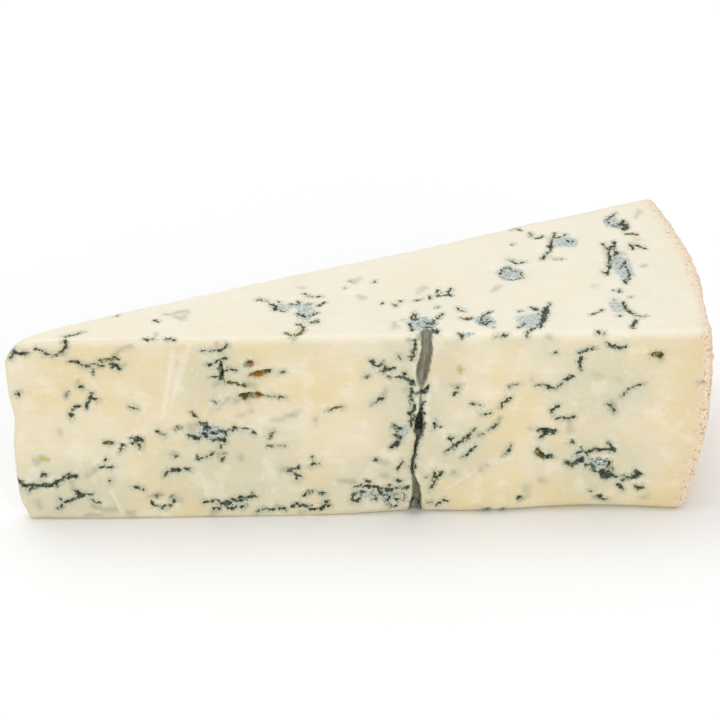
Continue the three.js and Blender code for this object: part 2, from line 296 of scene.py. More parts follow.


# %% [markdown]
# ## The veins of the front cut
#
# The blue mould grows in gaps between curds, and a knife opens them as short ragged strokes. Each stroke
# here is its width and the places that it passes, in millimetres: distance from the wheel's middle, then
# height. This first list has the dark strokes between the tip and the pierced hole. The places were picked
# on enlarged crops of the photo and turned into millimetres. The places were picked
# by eye on enlarged crops of the photo, and a scratch script turned them into millimetres.

# %% Front cut, dark veins from the tip to the pierced hole
FRONT_DARK = [
    (0.7, [(2.5, 39.4), (3.3, 38.8), (4.3, 38.8), (5.7, 38.8)]),
    (0.6, [(3.3, 38.8), (2.2, 37.8)]),
    (0.35, [(7.5, 39.7), (8.5, 39.3), (9.4, 38.4), (10.9, 38.1), (12.1, 38.3), (13.1, 38.4)]),
    (0.4, [(11.9, 38.3), (12.7, 39.2), (13.3, 39.7), (13.2, 40.6), (13.2, 41.6)]),
    (0.6, [(13.8, 36.5), (15, 36.6), (15.9, 36.1), (16.9, 35.4), (17.9, 35.2)]),
    (0.45, [(17.9, 35.7), (19.1, 35.8), (20.6, 35.5)]),
    (0.35, [(18.3, 34.8), (18.5, 33.7)]),
    (0.9, [(21.8, 35.9), (22.3, 35.6), (23.3, 35.2), (23.5, 34.7)]),
    (0.35, [(15.8, 30.7), (16.4, 30.4)]),
    (0.3, [(13.3, 29.7), (12.7, 28.8)]),
    (0.6, [(18, 29.4), (17.7, 28), (19, 27.8)]),
    (0.5, [(17.7, 28), (17, 27.1), (16.6, 25.7)]),
    (0.35, [(15.5, 26.4), (14.5, 26), (14, 25.7)]),
    (0.7, [(13.6, 24.6), (13.7, 23.9)]),
    (0.5, [(3, 29.3), (3.4, 29.2), (3.9, 29.9)]),
    (1, [(2.4, 8.9), (3.1, 9.3)]),
    (0.8, [(2.4, 8.9), (3.9, 8.2), (5.3, 8.1), (7.1, 8.3), (8.8, 8.3), (10.1, 8.3)]),
    (0.6, [(3.2, 7.8), (4.8, 7.8)]),
    (0.6, [(4.6, 7.1), (4.8, 7.1)]),
    (0.7, [(9.6, 8.6), (10.8, 9.3), (12.1, 9.9), (13.4, 10.4), (14.1, 10.3)]),
    (0.9, [(13.8, 10.3), (14, 10.3)]),
    (0.3, [(11.4, 10.2), (12.6, 10.9), (13.6, 10.7)]),
    (0.9, [(7.4, 10.4), (8.2, 10.8)]),
    (0.6, [(13.7, 6.8), (14.7, 6.3)]),
    (1, [(14.7, 6), (14.9, 6)]),
    (0.5, [(17.1, 6), (15.6, 5.9), (14.6, 5.7), (13.6, 5.3), (13, 4.7), (11.6, 4.3)]),
    (0.45, [(11.3, 3.8), (11.1, 3.2), (10.1, 2.7)]),
    (0.35, [(10.5, 5.2), (10.9, 4.9)]),
    (0.3, [(17.2, 4.4), (18.3, 3.9)]),
    (0.4, [(20.6, 9.1), (20.8, 9.1)]),
    (0.3, [(20.1, 13.9), (20.3, 14.4)]),
    (0.35, [(18.8, 12.4), (19.6, 12.5), (20.6, 12.3), (21.6, 12.3)]),
    (0.45, [(20.8, 17.8), (21.6, 17.8)]),
    (0.5, [(23.4, 17.3), (23.8, 17.2)]),
    (0.4, [(23.6, 17.1), (23.3, 16.2), (23, 15.8)]),
    (0.45, [(25.4, 18.9), (26.3, 18.6), (26, 17.7), (25.2, 17.5)]),
    (0.5, [(26, 17.7), (26.7, 17.4), (27.1, 16.4)]),
    (0.4, [(26.5, 18.9), (27.3, 18.6), (27.5, 18)]),
    (0.35, [(28.7, 41.5), (30.7, 41.5)]),
    (0.25, [(32.9, 41.4), (34.6, 41.3)]),
    (0.3, [(30.5, 20.4), (31, 19.9), (32, 19.6)]),
    (0.6, [(31.6, 10.2), (32.3, 11), (33.4, 11.3), (34.6, 11.4)]),
    (0.9, [(34.4, 11.4), (34.6, 11.4)]),
    (0.4, [(35.5, 11.5), (36.7, 11.5)]),
    (0.35, [(25.2, 7.6), (26.1, 7.6), (27.3, 7)]),
    (0.4, [(28.8, 4), (29.3, 3.2), (30.3, 2.9), (31.7, 2.8), (32.6, 3.2), (33, 4.3), (32.9, 5.1)]),
    (0.4, [(29.7, 5.5), (30.7, 5.5)]),
    (0.6, [(34.2, 20.9), (35, 21.2)]),
    (0.35, [(37.3, 24.6), (37.8, 24.2), (38.4, 23.6)]),
    (0.9, [(39.1, 22.1), (39.9, 21.8), (40.1, 21), (40.9, 20.9)]),
    (0.7, [(39.4, 20.1), (40.1, 19.5), (40.3, 18.7)]),
    (0.6, [(41.1, 20.1), (41.8, 19.5)]),
    (0.7, [(42.8, 20.3), (43.6, 20), (43.9, 19.5)]),
    (0.7, [(41.3, 18.3), (42.3, 18.3), (43.5, 18.3), (43.7, 17.6)]),
    (0.6, [(36.5, 19.3), (37.4, 19), (38.3, 18.4), (38.8, 18.7)]),
    (0.35, [(44.3, 20.2), (45.2, 20.4), (45.8, 21), (46.3, 20.7), (48, 20.6)]),
    (0.5, [(49, 19.9), (49.7, 19.5)]),
    (0.3, [(43, 17.2), (43, 16.3)]),
    (0.45, [(38.2, 14.6), (38.3, 13.8), (38.9, 14), (39.7, 14)]),
    (0.35, [(39.7, 14), (40.7, 14.9), (41.7, 15.3)]),
    (0.3, [(42.2, 14.7), (43.6, 15.1)]),
    (0.35, [(33.8, 14.4), (34.1, 14.7)]),
    (0.35, [(41.6, 27.3), (42.3, 27)]),
    (0.2, [(39.9, 38.7), (41.2, 38.7), (42.5, 38.8)]),
    (0.4, [(42.2, 38.8), (43.4, 38.8), (44.1, 39.2), (44.9, 40.1)]),
    (0.4, [(40.8, 35.6), (41.9, 36.1), (43.1, 36.5), (44.1, 36.9), (44.8, 37.2)]),
    (0.6, [(43.7, 36.5), (43.7, 35.5), (43.4, 34.7), (43.6, 34.1), (43.9, 32.9), (43.3, 32.4)]),
    (0.4, [(42.6, 34.8), (43.3, 34.8)]),
    (0.35, [(43.9, 33.9), (44.8, 34.5), (45.7, 34.6), (46.5, 34.2)]),
    (0.5, [(41.5, 32.8), (42.5, 32.8), (43.7, 33.1)]),
    (0.4, [(43, 32.5), (43.7, 32), (44.7, 31.6)]),
    (0.35, [(38.9, 3.7), (40.6, 4), (42.3, 4)]),
    (0.9, [(42.5, 3.4), (43.8, 3.6), (44.5, 3.9)]),
    (0.5, [(44.5, 4.2), (46.3, 4.6), (47.8, 4.6), (49.5, 4.9)]),
    (0.6, [(45.8, 4), (47.3, 4.5)]),
    (0.35, [(41.2, 2.1), (42.2, 2.4)]),
    (0.35, [(43.7, 2.3), (45.7, 2.4)]),
    (0.6, [(46.2, 2.4), (47.4, 2.6)]),
    (0.3, [(48.8, 5.5), (49.1, 5)]),
    (0.6, [(49.6, 1.1), (49.9, 1.9)]),
    (0.35, [(50.4, 1.9), (51.4, 2.1)]),
    (0.3, [(52.1, 1.8), (53.1, 1.9)]),
    (0.4, [(53.6, 2.2), (55.1, 1.8)]),
    (0.5, [(55.8, 10.9), (57.1, 11.1), (58.1, 11.5)]),
    (0.8, [(57.8, 11.5), (58, 11.5)]),
    (0.35, [(56.6, 10.6), (57.8, 9.7), (57.3, 8.5)]),
    (0.35, [(57.8, 9.4), (58.5, 9.2)]),
    (0.35, [(60.3, 11.7), (61.1, 12.4), (62.1, 12.4)]),
    (0.25, [(60.9, 14), (61.1, 12.8)]),
    (0.4, [(59.1, 5.1), (59.9, 5.7), (60.9, 6)]),
    (0.7, [(61.9, 5.5), (63.1, 5.4)]),
    (0.7, [(56.6, 2.6), (57.6, 3), (57.4, 3.4)]),
    (0.6, [(57.6, 2.7), (58.8, 2.7), (60.1, 2.4)]),
    (0.6, [(60, 1.8), (61.5, 1.7), (63, 2.4), (64, 2.7)]),
    (0.5, [(63.1, 3.3), (63.6, 3.8)]),
    (0.6, [(72.9, 35.8), (73.6, 35.1)]),
    (0.5, [(74.2, 34.8), (75, 34.8), (75.8, 34.4)]),
    (0.6, [(75, 34.1), (76, 33.8), (76.5, 34), (77.3, 34.1)]),
    (0.5, [(74.8, 33.3), (75.6, 33.4)]),
    (0.35, [(75, 35.4), (75.2, 35.4)]),
    (0.5, [(76.2, 32.1), (76.7, 32)]),
    (0.6, [(77.3, 32.1), (78.1, 32), (79.4, 31.8), (80.4, 31.4)]),
    (0.6, [(79.2, 32.9), (79.6, 32.6)]),
    (0.35, [(71.6, 32.2), (72.2, 32.5)]),
    (0.25, [(78.2, 37), (78.6, 36.2)]),
    (0.7, [(74, 26.8), (75.2, 27.3)]),
    (0.3, [(73, 26), (74.2, 26.5)]),
    (0.7, [(76.8, 20.5), (77.1, 21), (77.1, 20)]),
    (0.8, [(77.4, 20.2), (78.6, 20.1)]),
    (0.6, [(77.2, 19.1), (78.2, 18.2), (78, 17.5)]),
    (0.7, [(78.2, 17.7), (77.4, 16.8), (76.4, 15.9)]),
    (0.5, [(73, 13.2), (73.7, 13.1)]),
    (0.45, [(77.5, 10.9), (78.1, 11.5), (78.5, 12.6)]),
    (0.4, [(71.3, 8.3), (71.9, 8.3)]),
    (0.5, [(77.3, 8.5), (78.4, 8.3)]),
    (
        0.6,
        [(69.1, 7.2), (70.3, 7.4), (71.6, 7.1), (73, 6.9), (74.6, 6.4), (75.6, 6.3), (77, 6.6), (79.7, 6.7)],
    ),
    (0.4, [(75.8, 7.3), (76, 7.3)]),
    (0.45, [(68.3, 4.1), (68.8, 5), (69.8, 5.8), (70.8, 5.8), (70, 4.6), (69.4, 3.6), (68.6, 3.6)]),
    (0.45, [(73.6, 6.4), (74, 5.5), (73.4, 4.6), (72.4, 3.9)]),
    (0.4, [(74, 5.3), (75, 5), (75.9, 4.5)]),
    (0.35, [(75.9, 4.5), (75.3, 3.4), (75.9, 2.7)]),
    (0.4, [(76.4, 5.3), (77.5, 5.2)]),
    (0.35, [(76.7, 4.1), (77.9, 4), (77.5, 3.3)]),
    (0.3, [(78.7, 5.7), (79.1, 4.7), (78.7, 3.8)]),
    (0.5, [(76.1, 1.8), (77.1, 2.4)]),
]
print(len(FRONT_DARK), "dark strokes between the tip and the hole")

# %% Front cut, dark veins in and beyond the pierced hole
FRONT_DARK += [
    (0.35, [(80.3, 40.5), (81.4, 40.2), (82.5, 40.4)]),
    (0.35, [(82.1, 41), (82.3, 40.3)]),
    (0.5, [(81.5, 40), (81.6, 38.7), (81.3, 37.8), (80.9, 36.5)]),
    (0.5, [(80.5, 36.4), (81, 36)]),
    (1.1, [(80.4, 30.6), (81.2, 30.5)]),
    (0.9, [(80.9, 31), (81.1, 31)]),
    (0.4, [(80.8, 29.4), (80.8, 28.7), (81.3, 28.1), (82.1, 28.4), (82.9, 28.6)]),
    (0.9, [(82.7, 28.3), (83.7, 29)]),
    (0.45, [(83.7, 29.1), (84.1, 30.1)]),
    (0.45, [(80.4, 29.2), (80.3, 27.6), (80.8, 26.4), (81.1, 25.3), (81.3, 24.8)]),
    (0.5, [(80.1, 23.7), (81.1, 24.5)]),
    (0.4, [(80.7, 23.7), (81, 23.2), (82, 23.2)]),
    (0.5, [(80.6, 23.2), (80.7, 22.3), (80.3, 21.8), (80.3, 20.7)]),
    (0.45, [(82.7, 25.5), (83.4, 26.3)]),
    (0.6, [(82.3, 25.7), (82.6, 25), (82.4, 23.9), (82.2, 23.2)]),
    (1.5, [(82.2, 22.8), (82, 21.2), (81.9, 20), (81.9, 19.4)]),
    (0.3, [(82.8, 23.9), (83.4, 23.6)]),
    (0.45, [(81.9, 17.9), (81.5, 17), (81.1, 15.4), (81.1, 14.2), (80.6, 12.8), (80.4, 11.4), (80.4, 9.3)]),
    (0.25, [(80.8, 12.1), (80.8, 11)]),
    (0.5, [(80.3, 3.6), (80.2, 1.9), (79.6, 0.8)]),
    (0.5, [(81.6, 2.4), (82, 1.2)]),
    (0.4, [(84.5, 8.6), (85.1, 9.3), (84.9, 10.4)]),
    (0.4, [(85.1, 8.8), (85.9, 9.7), (86.5, 10.2)]),
    (0.35, [(85.3, 8.3), (84.3, 7.2), (83.9, 6.4)]),
    (0.35, [(83.3, 9.1), (83.5, 9.1)]),
    (0.35, [(88.5, 10), (88.7, 10)]),
    (0.4, [(83.4, 3), (84.2, 2.9)]),
    (0.4, [(85, 2.3), (86, 3.2), (86.8, 3.7), (87.3, 3.4)]),
    (0.45, [(85.2, 22.2), (85, 21), (84.7, 20)]),
    (0.4, [(85, 20.8), (86.1, 20.8)]),
    (0.5, [(87.2, 14.7), (88.2, 15.5), (89.2, 16.5), (90.6, 17.3), (91.8, 18.6), (93, 19.9)]),
    (0.7, [(87.8, 17.7), (88.6, 18)]),
    (0.5, [(90.3, 13.4), (91.3, 14.3), (92.5, 15.4), (92.9, 16)]),
    (0.8, [(89.6, 42.2), (90.4, 42.1), (90.5, 41.5), (90.7, 40.9)]),
    (0.35, [(89.6, 29.3), (90.1, 29)]),
    (0.35, [(89, 27.8), (89.4, 28.3), (89.7, 28.2)]),
    (0.35, [(92.4, 25.7), (93, 25.6), (94.1, 25.1)]),
    (0.4, [(94.1, 23.2), (95, 23.3), (96.1, 23.6)]),
    (0.35, [(93.2, 18.5), (94.4, 18.5)]),
    (0.35, [(95.7, 19.7), (96.7, 20.2), (97.4, 21.3), (97.9, 22.3)]),
    (0.35, [(97.4, 40.8), (98.1, 40.8), (99.7, 41.4)]),
    (0.4, [(97.9, 24.7), (98.4, 25.6), (99.2, 26), (99.7, 27), (100.2, 27.3)]),
    (0.35, [(99.7, 29.4), (100.7, 29.8), (101.6, 30)]),
    (0.45, [(98.5, 13.6), (99, 14.3), (99.5, 15.1), (99.9, 16.1)]),
    (0.3, [(99.3, 14.5), (99.8, 14.6)]),
    (0.5, [(101.1, 3.6), (101.9, 3.7)]),
    (0.4, [(105.3, 29.6), (106.3, 29.8)]),
    (0.5, [(106.8, 29.4), (107.8, 29.1), (108.8, 28.8)]),
    (0.4, [(107.3, 29.6), (108.3, 28.7)]),
    (0.3, [(108.8, 28.8), (109.7, 29.5), (110.7, 30.7), (111.7, 31.7), (112.5, 31.8)]),
    (0.3, [(108.6, 37.1), (109.3, 37.2)]),
    (0.45, [(113.5, 37.2), (114.4, 37.4), (115.7, 38.1), (116.6, 38.3)]),
    (0.6, [(114.2, 36.3), (113.9, 35.5), (113.7, 34.3), (113.9, 33.2)]),
    (0.55, [(119.2, 39.1), (119.8, 38.6), (120.5, 38.5), (121.3, 38), (122, 38.3), (122.7, 38.6)]),
    (0.4, [(117, 41.6), (118.5, 41.3)]),
    (0.45, [(108, 23), (108.2, 23.8), (109, 24.7), (109.5, 25.3)]),
    (0.45, [(109, 22.1), (110.2, 21.9), (111.4, 22), (112.5, 22.3)]),
    (0.5, [(119, 25.1), (120.2, 24.4), (120.5, 23.6)]),
    (0.35, [(122, 27), (122.6, 27.9), (123.4, 28.7), (124.9, 29.4), (126.1, 29.7)]),
    (0.4, [(105.4, 19.1), (106.2, 19.6)]),
    (1, [(106.5, 18.7), (107.5, 19.1), (108.7, 19.1)]),
    (0.6, [(106.5, 18.4), (105.7, 17.5)]),
    (0.4, [(111.6, 16.4), (112.3, 16.7)]),
    (0.7, [(106.4, 13.5), (107.2, 13.2), (108.1, 13.5)]),
    (0.9, [(110.8, 11.8), (112.1, 11.4), (113.3, 11.8), (114.3, 12.5)]),
    (0.5, [(112.6, 13.7), (113.6, 13.9), (114.5, 14.2), (115, 13.3)]),
    (0.7, [(115.3, 14.1), (116.5, 14.6), (118, 14.5), (119.5, 14.4), (120.2, 14.7)]),
    (0.6, [(119.2, 16.2), (119.7, 15.3), (120.2, 14.1)]),
    (0.6, [(114.5, 11.3), (115, 10.7)]),
    (0.5, [(115.5, 11.6), (116.7, 9.5)]),
    (0.6, [(119, 12.1), (119.2, 11), (119.9, 9.8)]),
    (1.2, [(117.7, 9.5), (118.5, 8.4), (119.9, 8.6)]),
    (0.5, [(120.2, 8.3), (121.4, 8.4)]),
    (0.7, [(121.9, 7.4), (123.1, 8), (124.4, 8.6), (125.6, 8.8)]),
    (0.9, [(124.4, 9.7), (125.1, 8.8)]),
    (0.7, [(120.9, 6.4), (121.9, 5.5)]),
    (0.7, [(124.6, 5.8), (126.1, 5.6)]),
    (0.6, [(116.5, 3.7), (117.4, 4), (117.7, 3.1), (118.7, 3)]),
    (0.25, [(115.6, 5.2), (115.8, 5.2)]),
    (0.25, [(113.6, 15.2), (113.8, 15.2)]),
    (0.3, [(137, 29.8), (138.5, 30)]),
    (0.4, [(136.4, 11.3), (136, 9.9)]),
]
print(len(FRONT_DARK), "dark strokes on the front cut in all")

# %% [markdown]
# Not all mould is dark yet. In a moist gap it is still olive, and a few gaps hold a drop of amber whey.
# Faint veins are still under a thin layer of paste and only show through it.

# %% Front cut, olive, amber and faint veins
FRONT_OLIVE = [
    (0.45, [(19.7, 36.9), (20.6, 36.8), (21.9, 37)]),
    (0.8, [(21.8, 36.7), (22.9, 37.4), (23.3, 37)]),
    (0.35, [(25.1, 26.2), (26.9, 25.5)]),
    (0.8, [(20.2, 17.8), (21.6, 17.8)]),
    (0.5, [(44.7, 31.6), (46.1, 31.4), (47.1, 31), (48.1, 30.8)]),
    (0.7, [(52.1, 33.5), (53.1, 34.2)]),
    (0.45, [(54.9, 33.5), (55.7, 33.7)]),
    (1.2, [(47.3, 28.4), (48.7, 28.4)]),
    (0.35, [(51.4, 28.5), (52.9, 28.3), (54.1, 28.2)]),
    (0.5, [(54.6, 27.9), (54.8, 27.9)]),
    (0.25, [(54.9, 28), (55.8, 27.7)]),
    (0.2, [(64, 24.7), (65.3, 25.1), (67, 25.4)]),
    (0.45, [(42.9, 13.5), (43.4, 14)]),
    (0.5, [(53, 19.7), (53.6, 19.7)]),
    (0.35, [(53, 19.3), (52.5, 18.3)]),
    (0.3, [(52.2, 16.7), (53.5, 16.7), (54.8, 16.7), (55.5, 16.8)]),
    (0.8, [(105.2, 15), (105.4, 13.8), (106.4, 12.9)]),
    (0.9, [(127.7, 36.1), (129.3, 36.6), (129.3, 35.5)]),
]
FRONT_AMBER = [
    (1.2, [(48.6, 35.4), (49.7, 36.1)]),
    (0.9, [(49.1, 33), (50.1, 33.4), (51.6, 33.3)]),
    (1.4, [(49.7, 28.6), (50.9, 28.7)]),
]
FRONT_YELLOW = [
    (0.6, [(7.4, 14.6), (8.3, 14.3)]),
    (0.4, [(6.2, 14), (6.4, 14)]),
    (0.5, [(90.3, 33.4), (90.5, 33.4)]),
]
FRONT_FAINT = [
    (0.3, [(23.8, 35.6), (24.9, 35.7)]),
    (0.35, [(15.2, 32), (15, 31.4)]),
    (0.25, [(22.4, 37.9), (24.4, 39.5), (26.1, 39.9)]),
    (0.35, [(13.2, 9), (13.2, 7.8)]),
    (0.3, [(17, 3.4), (19.7, 2.4), (21.7, 2.4)]),
    (0.25, [(15.9, 1.2), (18.2, 1.1)]),
    (0.5, [(23.6, 1.8), (25.1, 1.6)]),
    (0.6, [(24.8, 0.6), (25, 0.6)]),
    (0.25, [(15.9, 11), (17.3, 11.1), (18.1, 11.8)]),
    (0.4, [(28.5, 5.5), (29.7, 5.8), (31, 5.8)]),
    (0.25, [(5.7, 4.4), (6.9, 3.5)]),
    (0.25, [(11.2, 20.3), (11.4, 20.3)]),
    (0.25, [(42.7, 26.7), (42.5, 25.5), (42, 25)]),
    (0.4, [(45.8, 27.2), (46.5, 27.3)]),
    (0.3, [(48.6, 27.3), (48.8, 27.3)]),
    (0.35, [(48.9, 25.1), (49.1, 25.1)]),
    (0.4, [(53.2, 23), (54.7, 23), (56.2, 23.6), (57.2, 23.8), (58.4, 24.7)]),
    (0.25, [(46.8, 23.9), (47, 23.9)]),
    (0.3, [(36.7, 21.6), (37.7, 21.9), (38.7, 21.6)]),
    (0.3, [(36.7, 21), (37.7, 20.6)]),
    (0.25, [(33.3, 15.4), (33.7, 15.3)]),
    (0.3, [(46.4, 14.2), (46.7, 13.6)]),
    (0.35, [(54.6, 10.9), (55.6, 11)]),
    (0.4, [(32.9, 5.1), (33.7, 5), (34.4, 4.2)]),
    (0.3, [(53.6, 2.6), (55.1, 2.1)]),
    (0.4, [(58, 0.9), (59, 1.1)]),
    (0.4, [(40.7, 1.7), (42, 1.6)]),
    (0.3, [(48.1, 30.8), (49.1, 31), (50, 30.7)]),
    (0.3, [(42.2, 31.1), (42.8, 31.3)]),
    (0.2, [(41.1, 24.4), (44.8, 28.1)]),
    (0.25, [(61.5, 22.5), (61.7, 22.5)]),
    (0.7, [(42.8, 40.4), (43, 40.4)]),
    (0.3, [(75.2, 28.1), (75.9, 29.5)]),
    (0.3, [(79.3, 29.2), (79.5, 29.2)]),
    (0.25, [(88.6, 30), (91, 29.9)]),
    (0.25, [(73.7, 13.1), (75.7, 12.4)]),
    (0.25, [(74.7, 9.8), (75.8, 9.6)]),
    (0.25, [(66.1, 8.4), (69.1, 8.1)]),
    (0.3, [(107.2, 40.8), (108.2, 40.6)]),
    (0.5, [(117.1, 31.8), (117.3, 31.8)]),
    (0.5, [(104.1, 31.1), (104.3, 31.1)]),
    (0.35, [(111.6, 21.8), (111.6, 18.9)]),
    (0.4, [(121.1, 30.6), (121.3, 30.6)]),
    (0.3, [(103.7, 20), (104.3, 19.9)]),
    (0.35, [(93.7, 10.8), (95.1, 11.5)]),
    (0.3, [(102.9, 4.1), (103.1, 4.1)]),
    (0.3, [(105.6, 7.6), (106.4, 7.7)]),
    (0.5, [(102.4, 6), (103.6, 6.1)]),
    (0.3, [(119.9, 25.8), (120.2, 23)]),
    (0.25, [(125.6, 3.3), (127.3, 4.1)]),
]

# %% [markdown]
# ## The veins of the upper cut
#
# The upper cut is mapped by the distance from the wheel's middle and the angle in degrees from the middle
# line, negative towards the front cut.

# %% Upper cut
TOP_DARK = [
    (0.3, [(13, -6), (14.5, -4), (17, -1)]),
    (0.4, [(31.3, 1.5), (31.8, 0)]),
    (0.7, [(54.4, 2.1), (55.3, 1.3), (54.9, -0.5)]),
    (0.45, [(55.4, -0.4), (56.9, -1.2)]),
    (0.35, [(56.3, 2.4), (56.5, 2.4)]),
    (0.5, [(58.2, 1.4), (59.9, 0.7), (60.2, 2.1)]),
    (0.35, [(61.9, 4.4), (62.1, 4.4)]),
    (0.35, [(62.2, 3.3), (63.2, 2.8), (64.9, 2.6)]),
    (0.4, [(61.3, 0.6), (62.4, 0.4)]),
    (0.8, [(59.3, -2.6), (60.4, -3.9)]),
    (0.4, [(63.5, -0.8), (65.1, 0.3)]),
    (0.35, [(61.5, -3.7), (62.9, -3)]),
    (0.35, [(61.4, -6.1), (62.5, -6.4), (62.8, -5.5)]),
    (0.4, [(58.7, -6.5), (59.7, -6.6), (59.9, -7.8)]),
    (0.4, [(71.8, 6), (72, 6)]),
    (0.3, [(69.9, 4.1), (70.1, 4.1)]),
    (0.6, [(76.2, 4.7), (76.4, 4.7)]),
    (0.35, [(75.9, -1.7), (76.1, -1.7)]),
    (0.4, [(78.2, -2.3), (78.6, -2.8)]),
    (0.5, [(79.7, -1.7), (79.9, -1.7)]),
    (0.45, [(82.5, -1.9), (83.7, -1.6)]),
    (0.4, [(85.6, -1.1), (85.7, -1.7)]),
    (0.45, [(87.7, 0.3), (87.3, -1.2), (88.3, -1.2), (89.4, -1), (90.4, 0.2)]),
    (0.7, [(89.3, -0.8), (89.9, -1.5)]),
    (0.4, [(86.4, -4), (86.6, -4)]),
    (0.45, [(87.1, -6), (85.9, -7.3), (84.9, -7.7)]),
    (0.7, [(87.1, -6), (87.3, -6)]),
    (0.45, [(80.9, -6.2), (81.8, -5.1), (82.1, -5.6), (81.4, -6.6), (82.4, -6.7)]),
    (0.5, [(80.8, -7.6), (80.9, -9.4)]),
    (0.5, [(83.8, -7.7), (84.6, -8.2), (85.3, -8.2), (85.7, -7.3)]),
    (0.6, [(83.9, -9.2), (84.8, -8.9), (85.2, -9.9), (85, -10.6)]),
    (0.6, [(85.9, -9.8), (86, -10.8)]),
    (0.35, [(90.4, -4.7), (91, -5.4), (91.7, -5.7)]),
    (0.4, [(94.5, -8.7), (94.8, -7.5), (95.7, -6.6), (97, -6.1)]),
    (0.6, [(94.5, -8.4), (95.2, -9), (95.8, -8.3)]),
    (0.45, [(95.7, -7.8), (96.5, -8.2)]),
    (0.7, [(96.7, -9.7), (96.9, -9.7)]),
    (0.35, [(102.5, -6.2), (102.7, -6.2)]),
    (0.8, [(105, -5.8), (106, -6.2)]),
    (0.3, [(108.7, -4.8), (107.9, -6)]),
    (1.1, [(107.8, -6), (107.3, -7.2), (106.4, -9.1)]),
    (0.5, [(106.3, -9.1), (106.1, -10.1)]),
    (0.4, [(102, -9.8), (103.1, -8.9)]),
    (0.35, [(103.3, -11.3), (106.1, -9)]),
    (0.4, [(100.9, 2), (101.5, 3), (103.4, 3.5), (103.7, 2.6)]),
    (0.3, [(103.7, 2.6), (105, 2), (105.3, 0.9)]),
    (0.3, [(105.3, 0.9), (102.7, 0.7), (101.4, 1.4)]),
    (0.35, [(104.1, 5), (105.2, 4.1), (106.9, 3.9)]),
    (0.6, [(106.6, 7.8), (106.8, 7.8)]),
    (0.4, [(109.2, 11.1), (110.2, 10.3)]),
    (0.5, [(111.5, 9.3), (111.1, 8.6)]),
    (0.4, [(111.8, 8.1), (113.2, 8.2)]),
    (0.5, [(116.1, 8.5), (114.5, 7.2), (113.5, 6.1)]),
    (0.9, [(113.7, 6.4), (113.3, 5.8)]),
    (0.5, [(113.1, 5.6), (112.2, 5), (110.6, 4)]),
    (0.35, [(118, 7.9), (117.1, 7.7), (115.4, 7.6)]),
    (0.5, [(117.1, 6.9), (117.8, 6.4), (118.7, 6.5)]),
    (0.35, [(130.2, 9.9), (128.8, 9.5), (127.4, 9), (127.5, 8.5), (128.4, 7.8), (129.1, 7.5)]),
    (1.1, [(129.2, 7.9), (130.2, 8), (130.3, 7.3)]),
    (0.8, [(129.1, 7), (130.5, 7)]),
    (0.5, [(130.6, 8.4), (130.2, 7.8)]),
    (0.45, [(128.8, 4.2), (128.7, 3.3)]),
    (0.4, [(129.1, 4.2), (130.1, 3.8), (131.3, 3.1)]),
    (0.5, [(123.7, 5.1), (123.9, 4.2), (123.7, 3.3), (123.2, 1.9), (122.5, 0.6), (121.3, -0.7)]),
    (0.5, [(120.9, -0.1), (121.5, -0.3)]),
    (0.45, [(126, 5.1), (125.2, 4.3), (123.7, 3.5)]),
    (0.4, [(125.4, 4.2), (125.4, 2.9), (124.1, 2.5), (123.6, 2.8)]),
    (0.45, [(126.2, 1.6), (125.5, 0.5), (125.9, -0.2), (125.7, -1.1), (124.7, -2.2)]),
    (0.35, [(124.2, 0.2), (125.7, 0.7)]),
    (0.5, [(124.4, -1.9), (124.7, -2.5)]),
    (0.6, [(122.9, -3.5), (122.8, -3.9)]),
    (0.35, [(121.6, -3.6), (121.8, -3.6)]),
    (0.35, [(121.2, -5.2), (121.4, -5.2)]),
    (0.3, [(124.6, -4.9), (124.8, -4.9)]),
    (0.5, [(129.3, 0.2), (129.5, 0.2)]),
    (0.5, [(122.9, -5.7), (123.1, -6.6), (124.3, -7.9), (125.5, -8.3)]),
    (0.5, [(121.7, -8.2), (121.9, -8.2)]),
    (0.5, [(124.9, -8.9), (124, -10.5)]),
]
TOP_OLIVE = [
    (0.8, [(59.8, -7.8), (59.3, -9.7), (57.9, -11.1)]),
    (0.6, [(57.9, -11.1), (56.3, -9.8)]),
    (0.6, [(90.8, -7.2), (92, -7.5), (93, -7.3)]),
    (0.4, [(80.7, -9.4), (81.2, -9.8)]),
    (0.3, [(53.3, 4.1), (54.2, 3.5)]),
    (0.4, [(129.3, 6), (130.2, 5.9), (131.4, 5.7)]),
    (0.35, [(125.5, -8.3), (126.9, -8.4)]),
    (0.3, [(112.4, 3.6), (113.4, 3.6), (114.5, 3.3)]),
    (0.35, [(116.2, -7.8), (118.6, -7)]),
]
TOP_AMBER = [(0.8, [(52.5, 4.6), (52.7, 4.6)])]
TOP_FAINT = [
    (0.4, [(33.8, 4.5), (35, 3.6), (36.5, 4.6), (38.1, 4.2), (36.8, -0.5), (35.6, 2)]),
    (0.3, [(30.7, -7.5), (30.8, -9)]),
    (0.35, [(61.8, 6.6), (62, 6.6)]),
    (0.4, [(72.2, 5.2), (73.8, 6.3)]),
    (0.5, [(72.2, 1.1), (72.7, -0.1)]),
    (0.35, [(83.7, 0.2), (84.8, 1.1), (85.7, 1.5)]),
    (0.3, [(77.5, -7.4), (77.4, -9.3)]),
    (0.3, [(78.3, -8.9), (78.5, -8.9)]),
    (0.3, [(79.4, -6.8), (79.6, -6.8)]),
    (0.5, [(99.8, -0.5), (98.3, -1.4)]),
    (0.8, [(118.5, -2.6), (118.7, -2.6)]),
    (0.5, [(130.5, 5.2), (131.1, 4.9)]),
    (0.5, [(126, 3), (126.9, 2.4)]),
    (0.35, [(135.1, 9.4), (133.5, 8.5)]),
    (0.5, [(108.2, 10.8), (108.4, 10.8)]),
]
print(len(TOP_DARK), "dark strokes on the upper cut")

